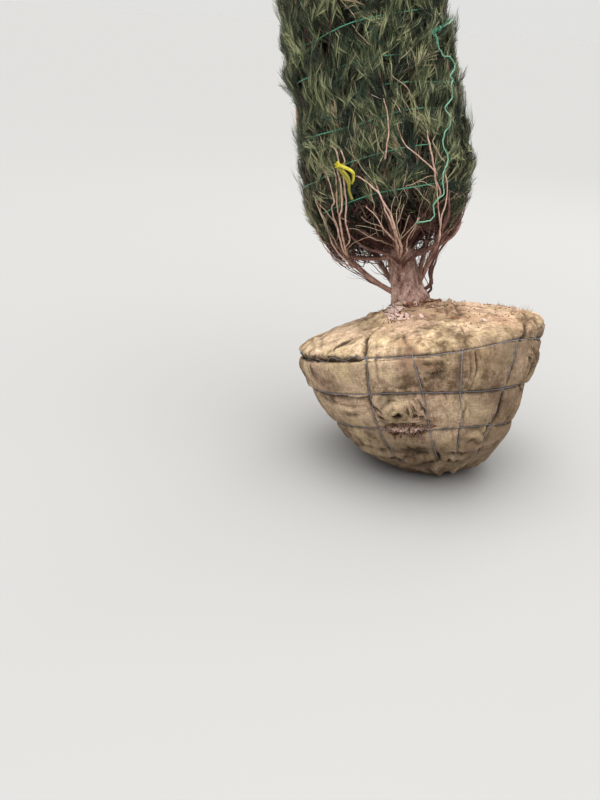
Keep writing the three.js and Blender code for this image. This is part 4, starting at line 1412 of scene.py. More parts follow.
# Thinner stems, in the same way
STEMS = [
    (16, 10, [(-137.4, 458, 97), (-135.6, 484, 100), (-139, 502, 100), (-141.6, 531, 99)]),
    (14, 10, [(-138.2, 479, 97), (-140.2, 498, 100), (-143.6, 518, 99)]),
    (18, 12, [(-163.5, 332, 96), (-157.5, 349, 100), (-159.5, 365, 102), (-161.6, 392, 103),
      (-174.1, 425, 102)]),
    (22, 12, [(-142.2, 270, 95), (-139, 296, 99), (-139.9, 317, 100), (-142.3, 343, 101),
      (-146.4, 369, 101), (-149.6, 398, 102), (-154.1, 426, 100)]),
    (20, 12, [(-149.4, 218, 97), (-147.5, 244, 99), (-147.7, 274, 100), (-148, 311, 101)]),
    (22, 14, [(-154.7, 232, 97), (-150.1, 268, 100), (-147.7, 311, 100), (-148.9, 355, 100),
      (-144.3, 401, 100), (-144, 442, 98)]),
    (18, 10, [(-103.5, 262, 97), (-106.7, 272, 98), (-112.4, 288, 98), (-116.5, 309, 97)]),
    (20, 12, [(-91.8, 220, 92), (-92.7, 244, 97), (-92.6, 266, 100), (-89.9, 286, 100), (-87.9, 308, 100),
      (-85.7, 330, 97)]),
    (16, 10, [(-92.9, 274, 98), (-91.5, 307, 100), (-90.5, 316, 100), (-88.4, 338, 100), (-87, 361, 98)]),
    (18, 11, [(-92.2, 210, 90), (-90.2, 230, 95), (-87.8, 247, 98), (-85.8, 269, 100), (-83.3, 292, 97)]),
    (22, 12, [(-91.2, 213, 88), (-87.3, 229, 94), (-83.7, 245, 97), (-79.7, 262, 100), (-75.6, 281, 97)]),
    (14, 9, [(-94.7, 228, 95), (-96.2, 263, 99), (-95.4, 303, 100), (-93.6, 335, 99), (-90.9, 360, 97)]),
    (16, 10, [(-110.5, 223, 88), (-116.1, 238, 92), (-119.8, 257, 95), (-123.9, 271, 96),
      (-129, 274, 97)]),
    (13, 9, [(-102.8, 247, 93), (-107.2, 256, 95), (-114.6, 272, 96), (-123, 282, 96)]),
    (14, 9, [(-140.5, 214, 90), (-127.3, 229, 92), (-118.4, 236, 92), (-109.6, 247, 92)]),
    (14, 9, [(-106.2, 317, 97), (-105.1, 334, 100), (-105.2, 357, 100), (-106.7, 382, 97)]),
    (14, 9, [(-148, 298, 99), (-169.1, 309, 100), (-180, 326, 103)]),
    (16, 10, [(-101.4, 401, 96), (-104.1, 426, 100), (-108.5, 463, 101), (-110.3, 491, 101),
      (-111.9, 492, 100), (-112.9, 515, 100), (-114.3, 558, 97)]),
    (18, 12, [(-94.2, 489, 94), (-94.8, 510, 100), (-95.8, 518, 100), (-96.8, 555, 100),
      (-97.3, 593, 97)]),
    (22, 14, [(-50.1, 427, 95), (-54, 453, 99), (-57.1, 467, 100), (-60.1, 496, 101), (-61.7, 521, 100),
      (-58.1, 549, 100), (-53.5, 578, 98)]),
    (16, 11, [(-73.1, 613, 95), (-74.5, 627, 100), (-76.7, 654, 100), (-78.9, 677, 96)]),
    (18, 11, [(-67.6, 624, 94), (-70.5, 646, 100), (-72.6, 676, 100), (-74.1, 698, 100),
      (-78.4, 722, 100), (-81.5, 737, 100), (-83.9, 762, 97)]),
    (14, 10, [(-89.9, 672, 97), (-92.9, 681, 100), (-96.7, 696, 98)]),
    (16, 10, [(-67.1, 320, 96), (-72, 341, 99), (-75.8, 369, 100), (-78.3, 385, 97)]),
    (14, 10, [(-61.2, 364, 95), (-68.3, 385, 99), (-73.9, 398, 100), (-79.3, 391, 100),
      (-83.5, 388, 97)]),
    (14, 10, [(-63, 411, 96), (-71, 406, 100), (-76.6, 396, 100), (-80.3, 383, 97)]),
    (18, 11, [(-100.3, 938, 95), (-101.4, 953, 100), (-104, 977, 100), (-107.2, 999, 100),
      (-110.6, 1024, 96)]),
    (14, 10, [(-91.4, 838, 96), (-95.3, 861, 100), (-99.8, 897, 100), (-103, 924, 97)]),
    (13, 9, [(-66.4, 739, 96), (-67.2, 782, 100), (-67.7, 814, 100), (-69.4, 832, 98)]),
    (13, 9, [(-72.8, 761, 96), (-72.3, 789, 100), (-71.5, 829, 98)]),
]
# Limbs in the crown's shade, in the same way; their near-black bark is painted shade
DARK_LIMBS = [
    (60, 34, [(-74.5, 151, 60), (-67.7, 155, 72), (-59.6, 175, 84), (-55.8, 203, 91), (-54.8, 231, 94),
      (-51.3, 270, 96), (-50.5, 313, 96), (-49.4, 360, 95)]),
    (52, 26, [(-7, 11, 60), (-40.1, 49, 66), (-53.5, 96, 80), (-54.3, 135, 86), (-55.5, 172, 90),
      (-51.4, 207, 93)]),
    (16, 10, [(-51.8, 216, 95), (-51.7, 222, 100), (-46.8, 230, 103), (-41, 246, 106)]),
    (24, 14, [(-77.8, 145, 60), (-71.4, 114, 62), (-55.7, 75, 60), (-39.6, 43, 60)]),
    (58, 30, [(-105.8, 158, 62), (-114.3, 177, 72), (-122.6, 192, 80), (-127.9, 210, 86),
      (-131.4, 246, 92), (-132.4, 279, 95)]),
    (80, 34, [(-10, 36, 56), (-10, 91, 50), (-10, 161, 56), (-10, 211, 67), (-10, 243, 77),
      (-10, 276, 84), (-10, 335, 91), (-10, 412, 95), (-10, 465, 95)]),
    (40, 18, [(8, 150, 60), (4, 220, 80), (2, 290, 90), (6, 380, 95)]),
]


def limb_feet():
    """Places low on the trunk and the basket's boughs from which bare limbs and twigs grow."""
    places = [bough.point(np.linspace(0.03, 0.75, 44)) for bough in BOUGHS if bough.tier < 2]
    return np.concatenate([*places, trunk_centre(np.linspace(0.0, 0.42, 40))])


def make_bare_limbs(name, plans, paint):
    # they also leave the limbs on through the needles, where they come out higher up
    feet = np.concatenate([limb_feet(), *(b.limb()[0] for b in BOUGHS if b.tier < 3)])
    knobs = lambda k, turn: 1 + 0.08 * np.sin(k * 1.7 + 2 * turn)
    parts = []
    for thick, thin, spots in plans:
        turn, height, out = (np.array(spots) / [1, 1000, 100]).T
        points = on_crown(np.radians(turn), height, out, tucked=False)
        cost = np.linalg.norm(feet - points[0], axis=1)
        cost = cost + 4 * np.maximum(feet[:, 2] - points[0, 2] + 0.03, 0)
        path = resample(np.concatenate([feet[np.argmin(cost)][None], points]), 40)
        path = path + 0.0012 * kinks(path, 0.05, 71)
        thick, thin = thick / 1e4, thin / 1e4
        radius = np.linspace(1, thin / thick, 40) * thick
        parts.append(tubes(to_world(path)[None], radius[None], 8, knobs))
    verts, quads, caps = joined(parts)
    return mesh_piece(name, verts, [quads, caps], paint)


def grow_twigs(seed, count, parents, thin, thick):
    """Bare twigs from points on the limbs: up and outwards inside the basket, then along it."""
    r = np.random.default_rng(seed)
    foot = parents[r.integers(0, len(parents), count)]
    _, turn, away = about_trunk(foot)
    out = away / crown_radius(foot[:, 2], turn)
    climb = r.uniform(0.02, 0.30, count)
    end_turn = turn + r.normal(0, 0.36, count)
    end_out = np.clip(out + r.uniform(0.0, 0.7, count), 0.45, 1.0)
    end = on_crown(end_turn, foot[:, 2] + climb, end_out)
    bend = on_crown(
        turn + (end_turn - turn) * r.uniform(0.1, 0.6, count),
        foot[:, 2] + climb * r.uniform(0.15, 0.5, count),
        np.clip(mix(out, end_out, r.uniform(0.5, 1.1, count)), 0.1, 1.0),
    )
    paths = bezier(foot, bend, end, 10)
    paths = paths + 0.007 * kinks(paths, 0.06, seed) * np.linspace(0, 1, 10)[None, :, None]
    paths = bind(paths, 0.9)
    size = r.uniform(thin, thick, count)
    radii = size[:, None] * np.linspace(1, 0.4, 10)[None]
    # each bears three finer ones
    n = count * 3
    owner = np.repeat(np.arange(count), 3)
    step = r.integers(2, 9, n)
    base = paths[owner, step]
    ahead = unit(paths[owner, np.minimum(step + 1, 9)] - base)
    stray = unit(r.normal(size=(n, 3)))
    length = r.uniform(0.03, 0.12, n)[:, None]
    way = unit(ahead + 0.75 * stray)
    tip = base + way * length + ahead * length * 0.3
    small = bind(bezier(base, base + way * length * 0.5, tip, 6), 0.9)
    small_radii = (size[owner] * r.uniform(0.4, 0.6, n))[:, None] * np.linspace(1, 0.45, 6)[None]
    return joined([tubes(to_world(paths), radii, 5), tubes(to_world(small), small_radii, 4)])


def grow_stems(seed, count):
    """Thin pale stems that climb over the lowest needles, kinked and forked, all round."""
    r = np.random.default_rng(seed)
    front = r.random(count) < 0.30
    turn = np.where(front, r.normal(-100, 42, count), r.uniform(-10, 200, count))
    turn = np.radians(turn)[:, None]
    low, tall = r.uniform(0.20, 0.44, (count, 1)), r.uniform(0.10, 0.34, (count, 1))
    t = np.linspace(0, 1, 12)
    lean = r.normal(0, 0.16, (count, 1))
    angle = turn + lean * t + 0.03 * np.sin(9 * t + turn * 5)
    out = mix(r.uniform(0.74, 0.90, (count, 1)), r.uniform(0.95, 1.02, (count, 1)), t**0.7)
    out = out - 0.10 * np.clip(t - 0.8, 0, 1)[None] / 0.2 * (r.random((count, 1)) < 0.6)
    paths = on_crown(angle, low + tall * t, out)
    paths = paths + 0.0018 * kinks(paths, 0.045, seed)
    size = r.uniform(0.0009, 0.0018, count)
    stems = tubes(to_world(paths), size[:, None] * np.linspace(1, 0.45, 12)[None], 5)
    n = count * 3
    owner = np.repeat(np.arange(count), 3)
    base = paths[owner, r.integers(3, 11, n)]
    out, along = outwards(base)
    way = unit(along * r.normal(0, 0.55, (n, 1)) + UP + out * 0.05)
    length = r.uniform(0.03, 0.09, n)[:, None]
    small = bezier(base, base + way * length * 0.5 + out * 0.004, base + way * length, 6)
    small_size = size[owner][:, None] * 0.55 * np.linspace(1, 0.5, 6)[None]
    return joined([stems, tubes(to_world(small), small_size, 4)])


def make_twigs():
    parents = limb_feet()
    parents = parents[(parents[:, 2] > 0.03) & (parents[:, 2] < 0.44)]
    pale = grow_twigs(81, 90, parents, 0.0009, 0.0018)
    # The dark twigs' near-black bark is painted shade inside the crown's foot
    dark = grow_twigs(82, 340, parents, 0.0009, 0.0021)
    pale = joined([pale, grow_stems(83, 90)])
    return [
        mesh_piece("bare_twigs_pale", pale[0], pale[1:], STEM_BARK),
        mesh_piece("bare_twigs_dark", dark[0], dark[1:], DARK_BARK),
    ]


# Needles

# The green twine climbs the crown as one long helix
HELIX_START = math.radians(-150)
HELIX_TURNS = [
    0, 0.03, 0.07, 0.117, 0.136, 0.2, 0.6, 1, 1.028, 1.09, 1.153, 1.197, 1.26, 1.5, 2, 3, 4, 5, 17
]
HELIX_HEIGHTS = [
    0.343, 0.353, 0.361, 0.375, 0.379, 0.382, 0.415, 0.455, 0.464, 0.492, 0.508, 0.514, 0.517,
    0.540, 0.606, 0.700, 0.795, 0.915, 2.600,
]
HELIX_TOP = 2.52
TURNS = np.linspace(0, 17, 3401)
HEIGHTS = np.interp(TURNS, HELIX_TURNS, HELIX_HEIGHTS)
TURNS, HEIGHTS = TURNS[HEIGHTS < HELIX_TOP], HEIGHTS[HEIGHTS < HELIX_TOP]


def helix_gap(turn, height):
    """Distance in height to the nearest wrap of the twine."""
    share = ((turn - HELIX_START) / TAU) % 1.0
    whole = np.round(np.interp(height, HEIGHTS, TURNS) - share)
    best = np.full(np.shape(height), FAR)
    for step in (-1, 0, 1):
        there = np.interp(whole + step + share, TURNS, HEIGHTS, left=-FAR, right=99)
        best = np.minimum(best, np.abs(there - height))
    return best


def lumps(turn, height):
    return (
        1 + 0.30 * np.sin(3 * turn + height / 0.19) + 0.24 * np.sin(5 * turn - height / 0.11 + 1)
        + 0.18 * np.sin(height / 0.062 + 2 * turn)
    )


def tie_radius(turn, height):
    waist = 0.10 * gauss(height - 0.735, 0.045) * gauss(span(turn - math.radians(170)), 0.8)
    uneven = 0.02 * np.sin(2 * turn + height / 0.23) + 0.012 * np.sin(5 * turn + height / 0.09)
    waist = waist + 0.045 * ease(height, 0.65, 0.8) * gauss(span(turn - TUCK_TURN), 0.8)
    return crown_radius(height, turn) * (0.925 - waist + uneven)


def bind(points, firm=0.85):
    """Presses whatever stands out of the tied crown back to its outline, most at the twine."""
    height = points[..., 2]
    gap, turn, r = about_trunk(points)
    open_by = 0.022 * (1 - np.exp(-helix_gap(turn, height) / 0.025)) * lumps(turn, height)
    allowed = np.maximum(tie_radius(turn, height) + open_by, 0.03)
    pressed = r - firm * np.maximum(r - allowed, 0)
    # the leader's tuft above the last wrap stays loose
    loose = 0.35 * ease(height, HELIX_TOP - 0.02, HELIX_TOP + 0.12)
    scale = mix(pressed, r, loose) / np.maximum(r, 1e-6)
    out = trunk_centre(height)
    out[..., :2] += gap * scale[..., None]
    return out


SWIRL = [Waves(0.20, 91), Waves(0.11, 92)]
SPREAD = [Waves(0.17, 93), Waves(0.09, 94)]


def shoot_direction(base, r):
    """Up the crown, leaning out, swirled so that neighbours make plumes."""
    outward, along = outwards(base)
    swirl = 0.95 * SWIRL[0](base) + 0.75 * SWIRL[1](base) + 0.45 * r.normal(size=len(base))
    spread = 0.42 + 0.30 * SPREAD[0](base) + 0.20 * SPREAD[1](base)
    spread = spread + 0.25 * r.normal(size=len(base))
    return unit(UP + along * swirl[:, None] + outward * spread[:, None])


BUNDLES = 16  # of a shoot, from its foot to its tip
EACH = 3  # needles of a bundle
NEEDLE_WIDTH = 0.0016
GOLDEN = 2.39996


def make_needles(base, way, length, needle, r):
    """The needles of many shoots: vertices (bundles, needles, 5, 3) in the tree's frame."""
    s, b, n = len(base), BUNDLES, BUNDLES * EACH
    # they stand in tight bundles, each with a direction of its own
    spread = lambda values: np.repeat(values, EACH, axis=1)
    share = np.linspace(0.04, 1.0, b)[None] ** 0.85 + r.uniform(-0.03, 0.03, (s, b))
    share = spread(share) + r.uniform(-0.03, 0.03, (s, n))
    turn = np.arange(b)[None] * GOLDEN + r.uniform(0, 6.28, (s, 1)) + r.normal(0, 0.3, (s, b))
    turn = (spread(turn) + r.normal(0, 0.17, (s, n)))[..., None]
    side = unit(np.cross(way, unit(r.normal(size=(s, 3)))))
    other = np.cross(way, side)
    # the shoot itself bends a little
    sag = side * r.normal(0, 0.22, (s, 1)) + other * r.normal(0, 0.22, (s, 1))
    at = base[:, None] + way[:, None] * (share * length[:, None])[..., None]
    at = at + sag[:, None] * (share**2 * length[:, None] * 0.5)[..., None]
    ahead = unit(way[:, None] + sag[:, None] * share[..., None])
    cone = mix(0.66, 0.20, np.clip(share, 0, 1) ** 1.2) * spread(r.uniform(0.35, 1.45, (s, b)))
    cone = (cone + r.normal(0, 0.045, (s, n)))[..., None]
    aside = side[:, None] * np.cos(turn) + other[:, None] * np.sin(turn)
    d = unit(ahead * np.cos(cone) + aside * np.sin(cone))
    size = (needle[:, None] * r.uniform(0.78, 1.12, (s, n)) * mix(1.0, 0.86, share))[..., None]
    # needles sweep forward along the shoot, and droop a little
    stray = spread(r.normal(size=(s, b, 3)))
    forward = ahead * 0.42 + np.array([0, 0, -0.06]) + 0.16 * stray
    forward = forward + 0.03 * r.normal(size=(s, n, 3))
    middle = at + d * (size * 0.5) + forward * (size * 0.09)
    tip = at + unit(d + 0.55 * forward) * size
    wide = unit(np.cross(d, r.normal(size=(s, n, 3)))) * NEEDLE_WIDTH / 2
    verts = np.stack([at - wide * 0.7, at + wide * 0.7, middle - wide, middle + wide, tip], 2)
    return verts.reshape(s * b, EACH, 5, 3)


def needle_faces(count):
    start = (np.arange(count) * 5)[:, None]
    return [start + np.array([[0, 1, 3, 2]]), start + np.array([[2, 3, 4]])]


# Painted shade in hollows (below zero) and painted light on plumes (above zero) of the front: turn,
# height and size in mm, and strength
PATCHES = [
    (-106, 913, 42, -2.2), (-130, 870, 35, -2), (-103, 953, 31, -2), (-147, 966, 35, -1.8),
    (-40, 876, 31, -2), (-94, 703, 35, -2), (-115, 638, 38, -2), (-78, 821, 27, -1.8),
    (-119, 395, 35, -2.4), (-75, 479, 35, -2.2), (-83, 435, 31, -2.2), (-55, 677, 31, -1.8),
    (-122, 802, 23, -1.8), (-156, 743, 27, -1.6), (-98, 336, 31, -2.2), (-53, 920, 23, -1.6),
    (-112, 311, 35, -2), (-151, 822, 23, -1.6), (-119, 536, 23, -1.8), (-35, 426, 31, -1.6),
    (-32, 630, 27, -1.6), (-101, 470, 23, -1.8), (-125, 1006, 35, 1.2), (-100, 798, 31, 1.6),
    (-109, 858, 27, 1.4), (-136, 760, 31, 1.3), (-127, 700, 31, 1.3), (-89, 904, 31, 1.4),
    (-73, 905, 27, 1.3), (-67, 792, 31, 1.4), (-68, 624, 31, 1.6), (-95, 564, 31, 1.4),
    (-138, 554, 35, 1.2), (-88, 543, 27, 1.4), (-157, 501, 31, 1.2), (-98, 452, 27, 1.4),
    (-86, 410, 27, 1.4), (-94, 980, 27, 1.2), (-55, 758, 27, 1.3), (-165, 907, 27, 1.2),
    (-48, 561, 27, 1.3), (-104, 686, 23, 1.4),
]
# Tones from the darkest to the lightest and their shares, dark ones as painted shade and the light one as
# painted highlight, then two that are dealt out by chance
NEEDLE_TONES = [
    ("dark", (0.006, 0.011, 0.006), 0.29),
    ("deep", (0.021, 0.035, 0.017), 0.20),
    ("green", (0.058, 0.080, 0.039), 0.18),
    ("olive", (0.118, 0.146, 0.066), 0.18),
    ("light", (0.400, 0.405, 0.210), 0.14),
]
ODD_TONES = [("blue_green", (0.034, 0.064, 0.046)), ("tan", (0.42, 0.32, 0.19))]
BLUE_BELOW, TAN_ABOVE = 0.05, 0.982
SHOOTS = 6150
MOST_TRIANGLES = 195000  # of a piece


def shoot_counts():
    """The number of shoots of each mass, by its area; the tip takes the rest."""
    areas = []
    for bough in BOUGHS:
        middle = (bough.lower + bough.upper) / 2
        tall = EDGES[bough.tier + 1] - EDGES[bough.tier]
        areas.append(TAU / TIERS[bough.tier]["masses"] * float(crown_radius(middle)) * tall)
    total = sum(areas) + 0.16
    return [int(round(SHOOTS * area / total)) for area in areas]


def grow_mass(bough, n, r):
    """Shoots of one mass: laterals leave the limb, and shoots leave the laterals."""
    half = math.pi / TIERS[bough.tier]["masses"]
    path, _ = bough.limb()
    limb = path[path[:, 2] > bough.lower - 0.06]
    laterals = 12
    foot = limb[np.linspace(0, len(limb) - 2, laterals).astype(int)]
    sweep = np.where(np.arange(laterals) % 2 == 0, 1, -1) * r.uniform(0.25, 0.85, laterals)
    rise = r.uniform(0.10, 0.22, laterals)
    end_height = np.clip(foot[:, 2] + rise, bough.lower + 0.02, bough.upper - 0.01)
    end = on_crown(bough.turn + sweep * half, end_height, r.uniform(0.72, 0.9, laterals))
    bend = on_crown(bough.turn + sweep * half * 0.6, mix(foot[:, 2], end_height, 0.35), 0.72)
    lateral = bezier(foot, bend, end, 12)
    # one target per shoot, spread evenly over the mass, most of them near its outside
    wide = int(math.ceil(math.sqrt(n * 0.75)))
    tall = int(math.ceil(n / wide))
    cell = np.arange(wide * tall)
    u = (cell % wide + r.uniform(0, 1, wide * tall)) / wide
    v = (cell // wide + r.uniform(0, 1, wide * tall)) / tall
    keep = r.permutation(wide * tall)[:n]
    u, v = u[keep], v[keep]
    turn = bough.turn + (2 * u - 1) * half
    low = edge_height(bough.tier, turn)
    if bough.tier == 0:
        low = low - 0.05 * np.maximum(-np.cos(turn - FRONT_TURN), -0.2) - 0.02
    height = mix(low, edge_height(bough.tier + 1, turn), v) - 0.045
    deep = r.random(n)
    out = np.where(deep < 0.70, r.uniform(0.80, 0.95, n), r.uniform(0.48, 0.80, n))
    base = on_crown(turn, height, out)
    nodes = np.concatenate([lateral.reshape(-1, 3), limb])
    cost = np.linalg.norm(base[:, None] - nodes[None], axis=-1)
    cost = cost + np.maximum(nodes[None, :, 2] - base[:, None, 2] + 0.03, 0) * 2
    return lateral, nodes[np.argmin(cost, 1)], base


def grow_loose(r):
    """A few loose shoots that hang out low at the left."""
    n = 30
    turn = np.radians(r.uniform(140, 205, n))
    base = on_crown(turn, r.uniform(0.19, 0.30, n), r.uniform(0.90, 1.04, n))
    return on_crown(turn + 0.1, base[:, 2] - 0.06, 0.9), base


def grow_tip(r):
    """The whorl under the leader, and the leader's own shoots."""
    whorl, leader = 96, 14
    height = mix(EDGES[5] - 0.03, TREE_HEIGHT - 0.20, r.uniform(0, 1, whorl) ** 1.2)
    turn = r.uniform(0, TAU, whorl)
    base = on_crown(turn, height, r.uniform(0.1, 0.75, whorl))
    top = trunk_centre(mix(TREE_HEIGHT - 0.20, TREE_HEIGHT - 0.06, np.linspace(0, 1, leader)))
    around = r.uniform(0, TAU, leader)
    near = top + 0.012 * np.stack([np.cos(around), np.sin(around), around * 0 + 1], -1)
    return np.concatenate([trunk_centre(height - 0.05), top]), np.concatenate([base, near])


def grow_inner(r):
    """Shaded shoots deep inside the foot of the crown, above its boughs."""
    n = 420
    turn = np.concatenate([r.uniform(-170, -15, 300), r.uniform(-15, 190, 120)])
    out = r.uniform(0.22, 0.80, n)
    height = r.uniform(0.0, 0.20, n) + np.where(out < 0.5, 0.215, 0.235)
    return trunk_centre(height - 0.08), on_crown(np.radians(turn), height, out)


def bundle_tones(needles, inner, r):
    """A tone for each bundle of needles, by the spray it belongs to.

    Deep ones and the feet of the shoots are dark as painted shade, the outer ones and the tips light as
    painted highlight.
    """
    count = len(needles) // BUNDLES
    middle = needles[:, :, 2].mean(1)
    height = middle[:, 2]
    _, turn, away = about_trunk(middle)
    out = away / np.maximum(crown_radius(height, turn), 0.02)
    spray = 0.60 * Waves(0.15, 111)(middle) + 0.40 * Waves(0.06, 112)(middle)
    each = np.repeat(r.normal(size=count), BUNDLES)
    rank = 1.0 * spray + 0.42 * each + 1.15 * r.normal(size=len(each))
    # Painted shade deep in the crown, painted light at its outside
    rank = rank + 2.2 * (np.clip(out, 0.4, 1.0) - 0.8)
    # Painted shade in the front's hollows and painted light on its plumes
    for there, at, size, much in PATCHES:
        at, gain = at / 1000, 0.45 if much > 0 else 0.85
        gap = np.hypot(span(turn - math.radians(there)) * crown_radius(at), (height - at) * 0.6)
        rank = rank + gain * much * gauss(gap, size / 1000)
    # Painted shade at the feet of the shoots, painted light at their tips
    rank = rank + 0.16 * np.tile(np.arange(BUNDLES), count)
    # The inner shoots take the darkest tone as painted shade
    rank[-inner * BUNDLES :] = -9
    order = np.argsort(np.argsort(rank)) / len(rank)
    shares = np.array([tone[2] for tone in NEEDLE_TONES])
    tone = np.searchsorted(np.cumsum(shares / shares.sum()), order, side="right").clip(0, 4)
    odd = np.repeat(r.random(count), BUNDLES)
    tone = np.where(odd < BLUE_BELOW, 5, tone)
    tone = np.where((odd > TAN_ABOVE) & (out > 0.6), 6, tone)
    # Inner shoots: darkest tone, painted shade
    tone[-inner * BUNDLES :] = 0
    return tone


def make_foliage():
    """Laterals, twigs and the needles of all shoots, in pieces by tone."""
    r = np.random.default_rng(101)
    grown = [grow_mass(bough, n, r) for bough, n in zip(BOUGHS, shoot_counts())]
    laterals = np.concatenate([lateral for lateral, _, _ in grown])
    grown = [part[1:] for part in grown] + [grow_loose(r), grow_tip(r), grow_inner(r)]
    inner = len(grown[-1][1])
    sources, bases = (np.concatenate(points) for points in zip(*grown))
    count = len(bases)
    high = ease(bases[:, 2], 2.2, 2.62)
    way = unit(shoot_direction(bases, r) + UP * 1.6 * high[:, None])
    length = r.uniform(0.06, 0.15, count) * mix(1.0, 0.55, high)
    needle = r.uniform(0.070, 0.112, count) * mix(1.0, 0.55, high)
    firm = mix(r.uniform(0.62, 0.94, count), 0.93, ease(bases[:, 2], 1.2, 1.7))
    # twigs from the laterals to the shoots, and on along them
    bend = sources + (bases - sources) * 0.45 - UP * 0.02
    on = bases + way * (length * 0.8)[:, None]
    twigs = bind(np.concatenate([bezier(sources, bend, bases, 4), on[:, None]], 1), 0.95)
    radii = r.uniform(0.0012, 0.0020, count)[:, None] * np.array([1.5, 1.3, 1.1, 1.0, 0.6])[None]
    low = bases[:, 2] < 0.75
    pieces = []
    for name, paths, thick, sides in (
        ("green_twigs_low", twigs[low], radii[low], 3),
        ("green_twigs_high", twigs[~low], radii[~low], 3),
        ("green_laterals", bind(laterals),
         np.broadcast_to(np.linspace(0.0040, 0.0016, 12), laterals.shape[:2]), 5),
    ):
        verts, quads, caps = tubes(to_world(paths), thick, sides)
        pieces.append(mesh_piece(name, verts, [quads, caps], DARK_BARK))
    needles = make_needles(bases, way, length, needle, r)
    tones, firm = bundle_tones(needles, inner, r), np.repeat(firm, BUNDLES)
    limit = MOST_TRIANGLES // (3 * EACH)
    for k, (name, colour, *_) in enumerate([*NEEDLE_TONES, *ODD_TONES]):
        chosen = np.flatnonzero(tones == k)
        paint = Paint("needles_" + name, colour, 0.5).data
        for part, start in enumerate(range(0, len(chosen), limit), 1):
            some = chosen[start : start + limit]
            verts = to_world(bind(needles[some], firm[some][:, None, None]).reshape(-1, 3))
            faces = needle_faces(len(some) * EACH)
            pieces.append(mesh_piece(f"needles_{name}_{part}", verts, faces, paint, smooth=False))
    return pieces


# Green twine and yellow ribbon on the crown


def make_wraps():
    t = np.linspace(0, TURNS[-1], int(TURNS[-1] * 72))
    turn = HELIX_START + t * TAU
    height = np.interp(t, TURNS, HEIGHTS)
    sag = 0.006 * np.sin(turn * 2.3) + 0.003 * np.sin(turn * 5.1 + 1)
    height = height + sag * ease(t, 1.3, 1.8)
    # the lowest wraps lie on the needles, the others sink in and show here and there
    sunk = ease(t, 2.2, 2.6)
    over = mix(0.012, 0.002, sunk) + 0.006 * np.sin(turn * 1.7 + 1) * sunk
    radius = tie_radius(turn, height) + over + 0.003 * np.sin(turn * 7 + height * 9)
    # at the right the needles close over it
    radius = radius - 0.020 * ease(np.cos(turn - TUCK_TURN), 0.60, 0.80) * (1 - sunk)
    path = to_world(round_trunk(height, turn, radius))
    return twine_piece("crown_twine", [strand(path, 0.0020, sides=6)], GREEN)


# The hanging end of the twine: turn and height in mm
HANGING = [
    (-27, 928), (-37, 907), (-44.5, 890), (-50.5, 882), (-52.5, 872), (-49.5, 860), (-49.5, 837),
    (-47.5, 818), (-45, 803), (-37.5, 796), (-34, 787), (-33.5, 768), (-40, 739), (-38.5, 723),
    (-41.5, 705), (-40.5, 676), (-43.5, 655), (-48.5, 635), (-49, 625), (-46.5, 605), (-46, 588),
    (-48, 565), (-52.5, 546), (-54, 526), (-54.5, 506), (-52.5, 479), (-52.5, 453), (-55.5, 430),
    (-57.5, 411), (-58.5, 378), (-58, 358), (-59, 345), (-63, 330), (-66.5, 312), (-66, 285), (-67, 272),
    (-69.5, 263), (-74.5, 263), (-79, 262),
]


def make_hanging():
    """The hanging end of the twine, and knots with cut ends on it."""
    turn, height = (np.array(HANGING) / [1, 1000]).T
    points = on_crown(np.radians(turn), height, 0.985, tucked=False)
    path = resample(points + outwards(points)[0] * 0.010, 320)
    crimps = Waves(0.03, 131)
    path = to_world(path + 0.0018 * np.stack([crimps(path + 3 * c) for c in range(3)], -1))
    tail = twine_piece("hanging_twine", [strand(path, 0.0022, sides=7)], MINT)
    knots = [
        knot(path[at], size, radius, seed)
        for at, size, radius, seed in ((20, 0.014, 0.0022, 5), (27, 0.011, 0.0020, 6),
                                       (-3, 0.006, 0.0022, 8))
    ]
    for k, reach in (
        (20, (0.03, -0.02, 0.03)), (23, (-0.03, -0.02, -0.03)), (27, (0.02, -0.02, -0.035))
    ):
        place, reach = path[k], np.array(reach)
        end = resample([place, place + reach * 0.6, place + reach * [1, 0.8, 1.2]], 14)
        knots.append(strand(end, 0.0019, sides=6))
    return [tail, twine_piece("twine_knots", knots, GREEN)]


BAND_STEPS = 40


def ribbon_band(points, facing, width, curl):
    """A flat band of tape along points, its flat side towards facing: vertices and quads."""
    path = resample(points, BAND_STEPS)
    tangent = unit(np.gradient(path, axis=0))
    side = unit(np.cross(tangent, facing)) * width / 2
    thin = unit(np.cross(side, tangent)) * 0.0004
    curled = path + 0.002 * np.sin(np.linspace(0, 9, BAND_STEPS) + curl)[:, None] * unit(thin)
    rows = [path - side + thin, curled + thin, path + side + thin,
            path + side - thin, curled - thin, path - side - thin]
    ends = np.array([[0, 5, 4, 1], [1, 4, 3, 2]])
    quads = [ring_quads(BAND_STEPS, 6), ends, ends[:, ::-1] + (BAND_STEPS - 1) * 6]
    return to_world(np.stack(rows, 1).reshape(-1, 3)), np.concatenate(quads)


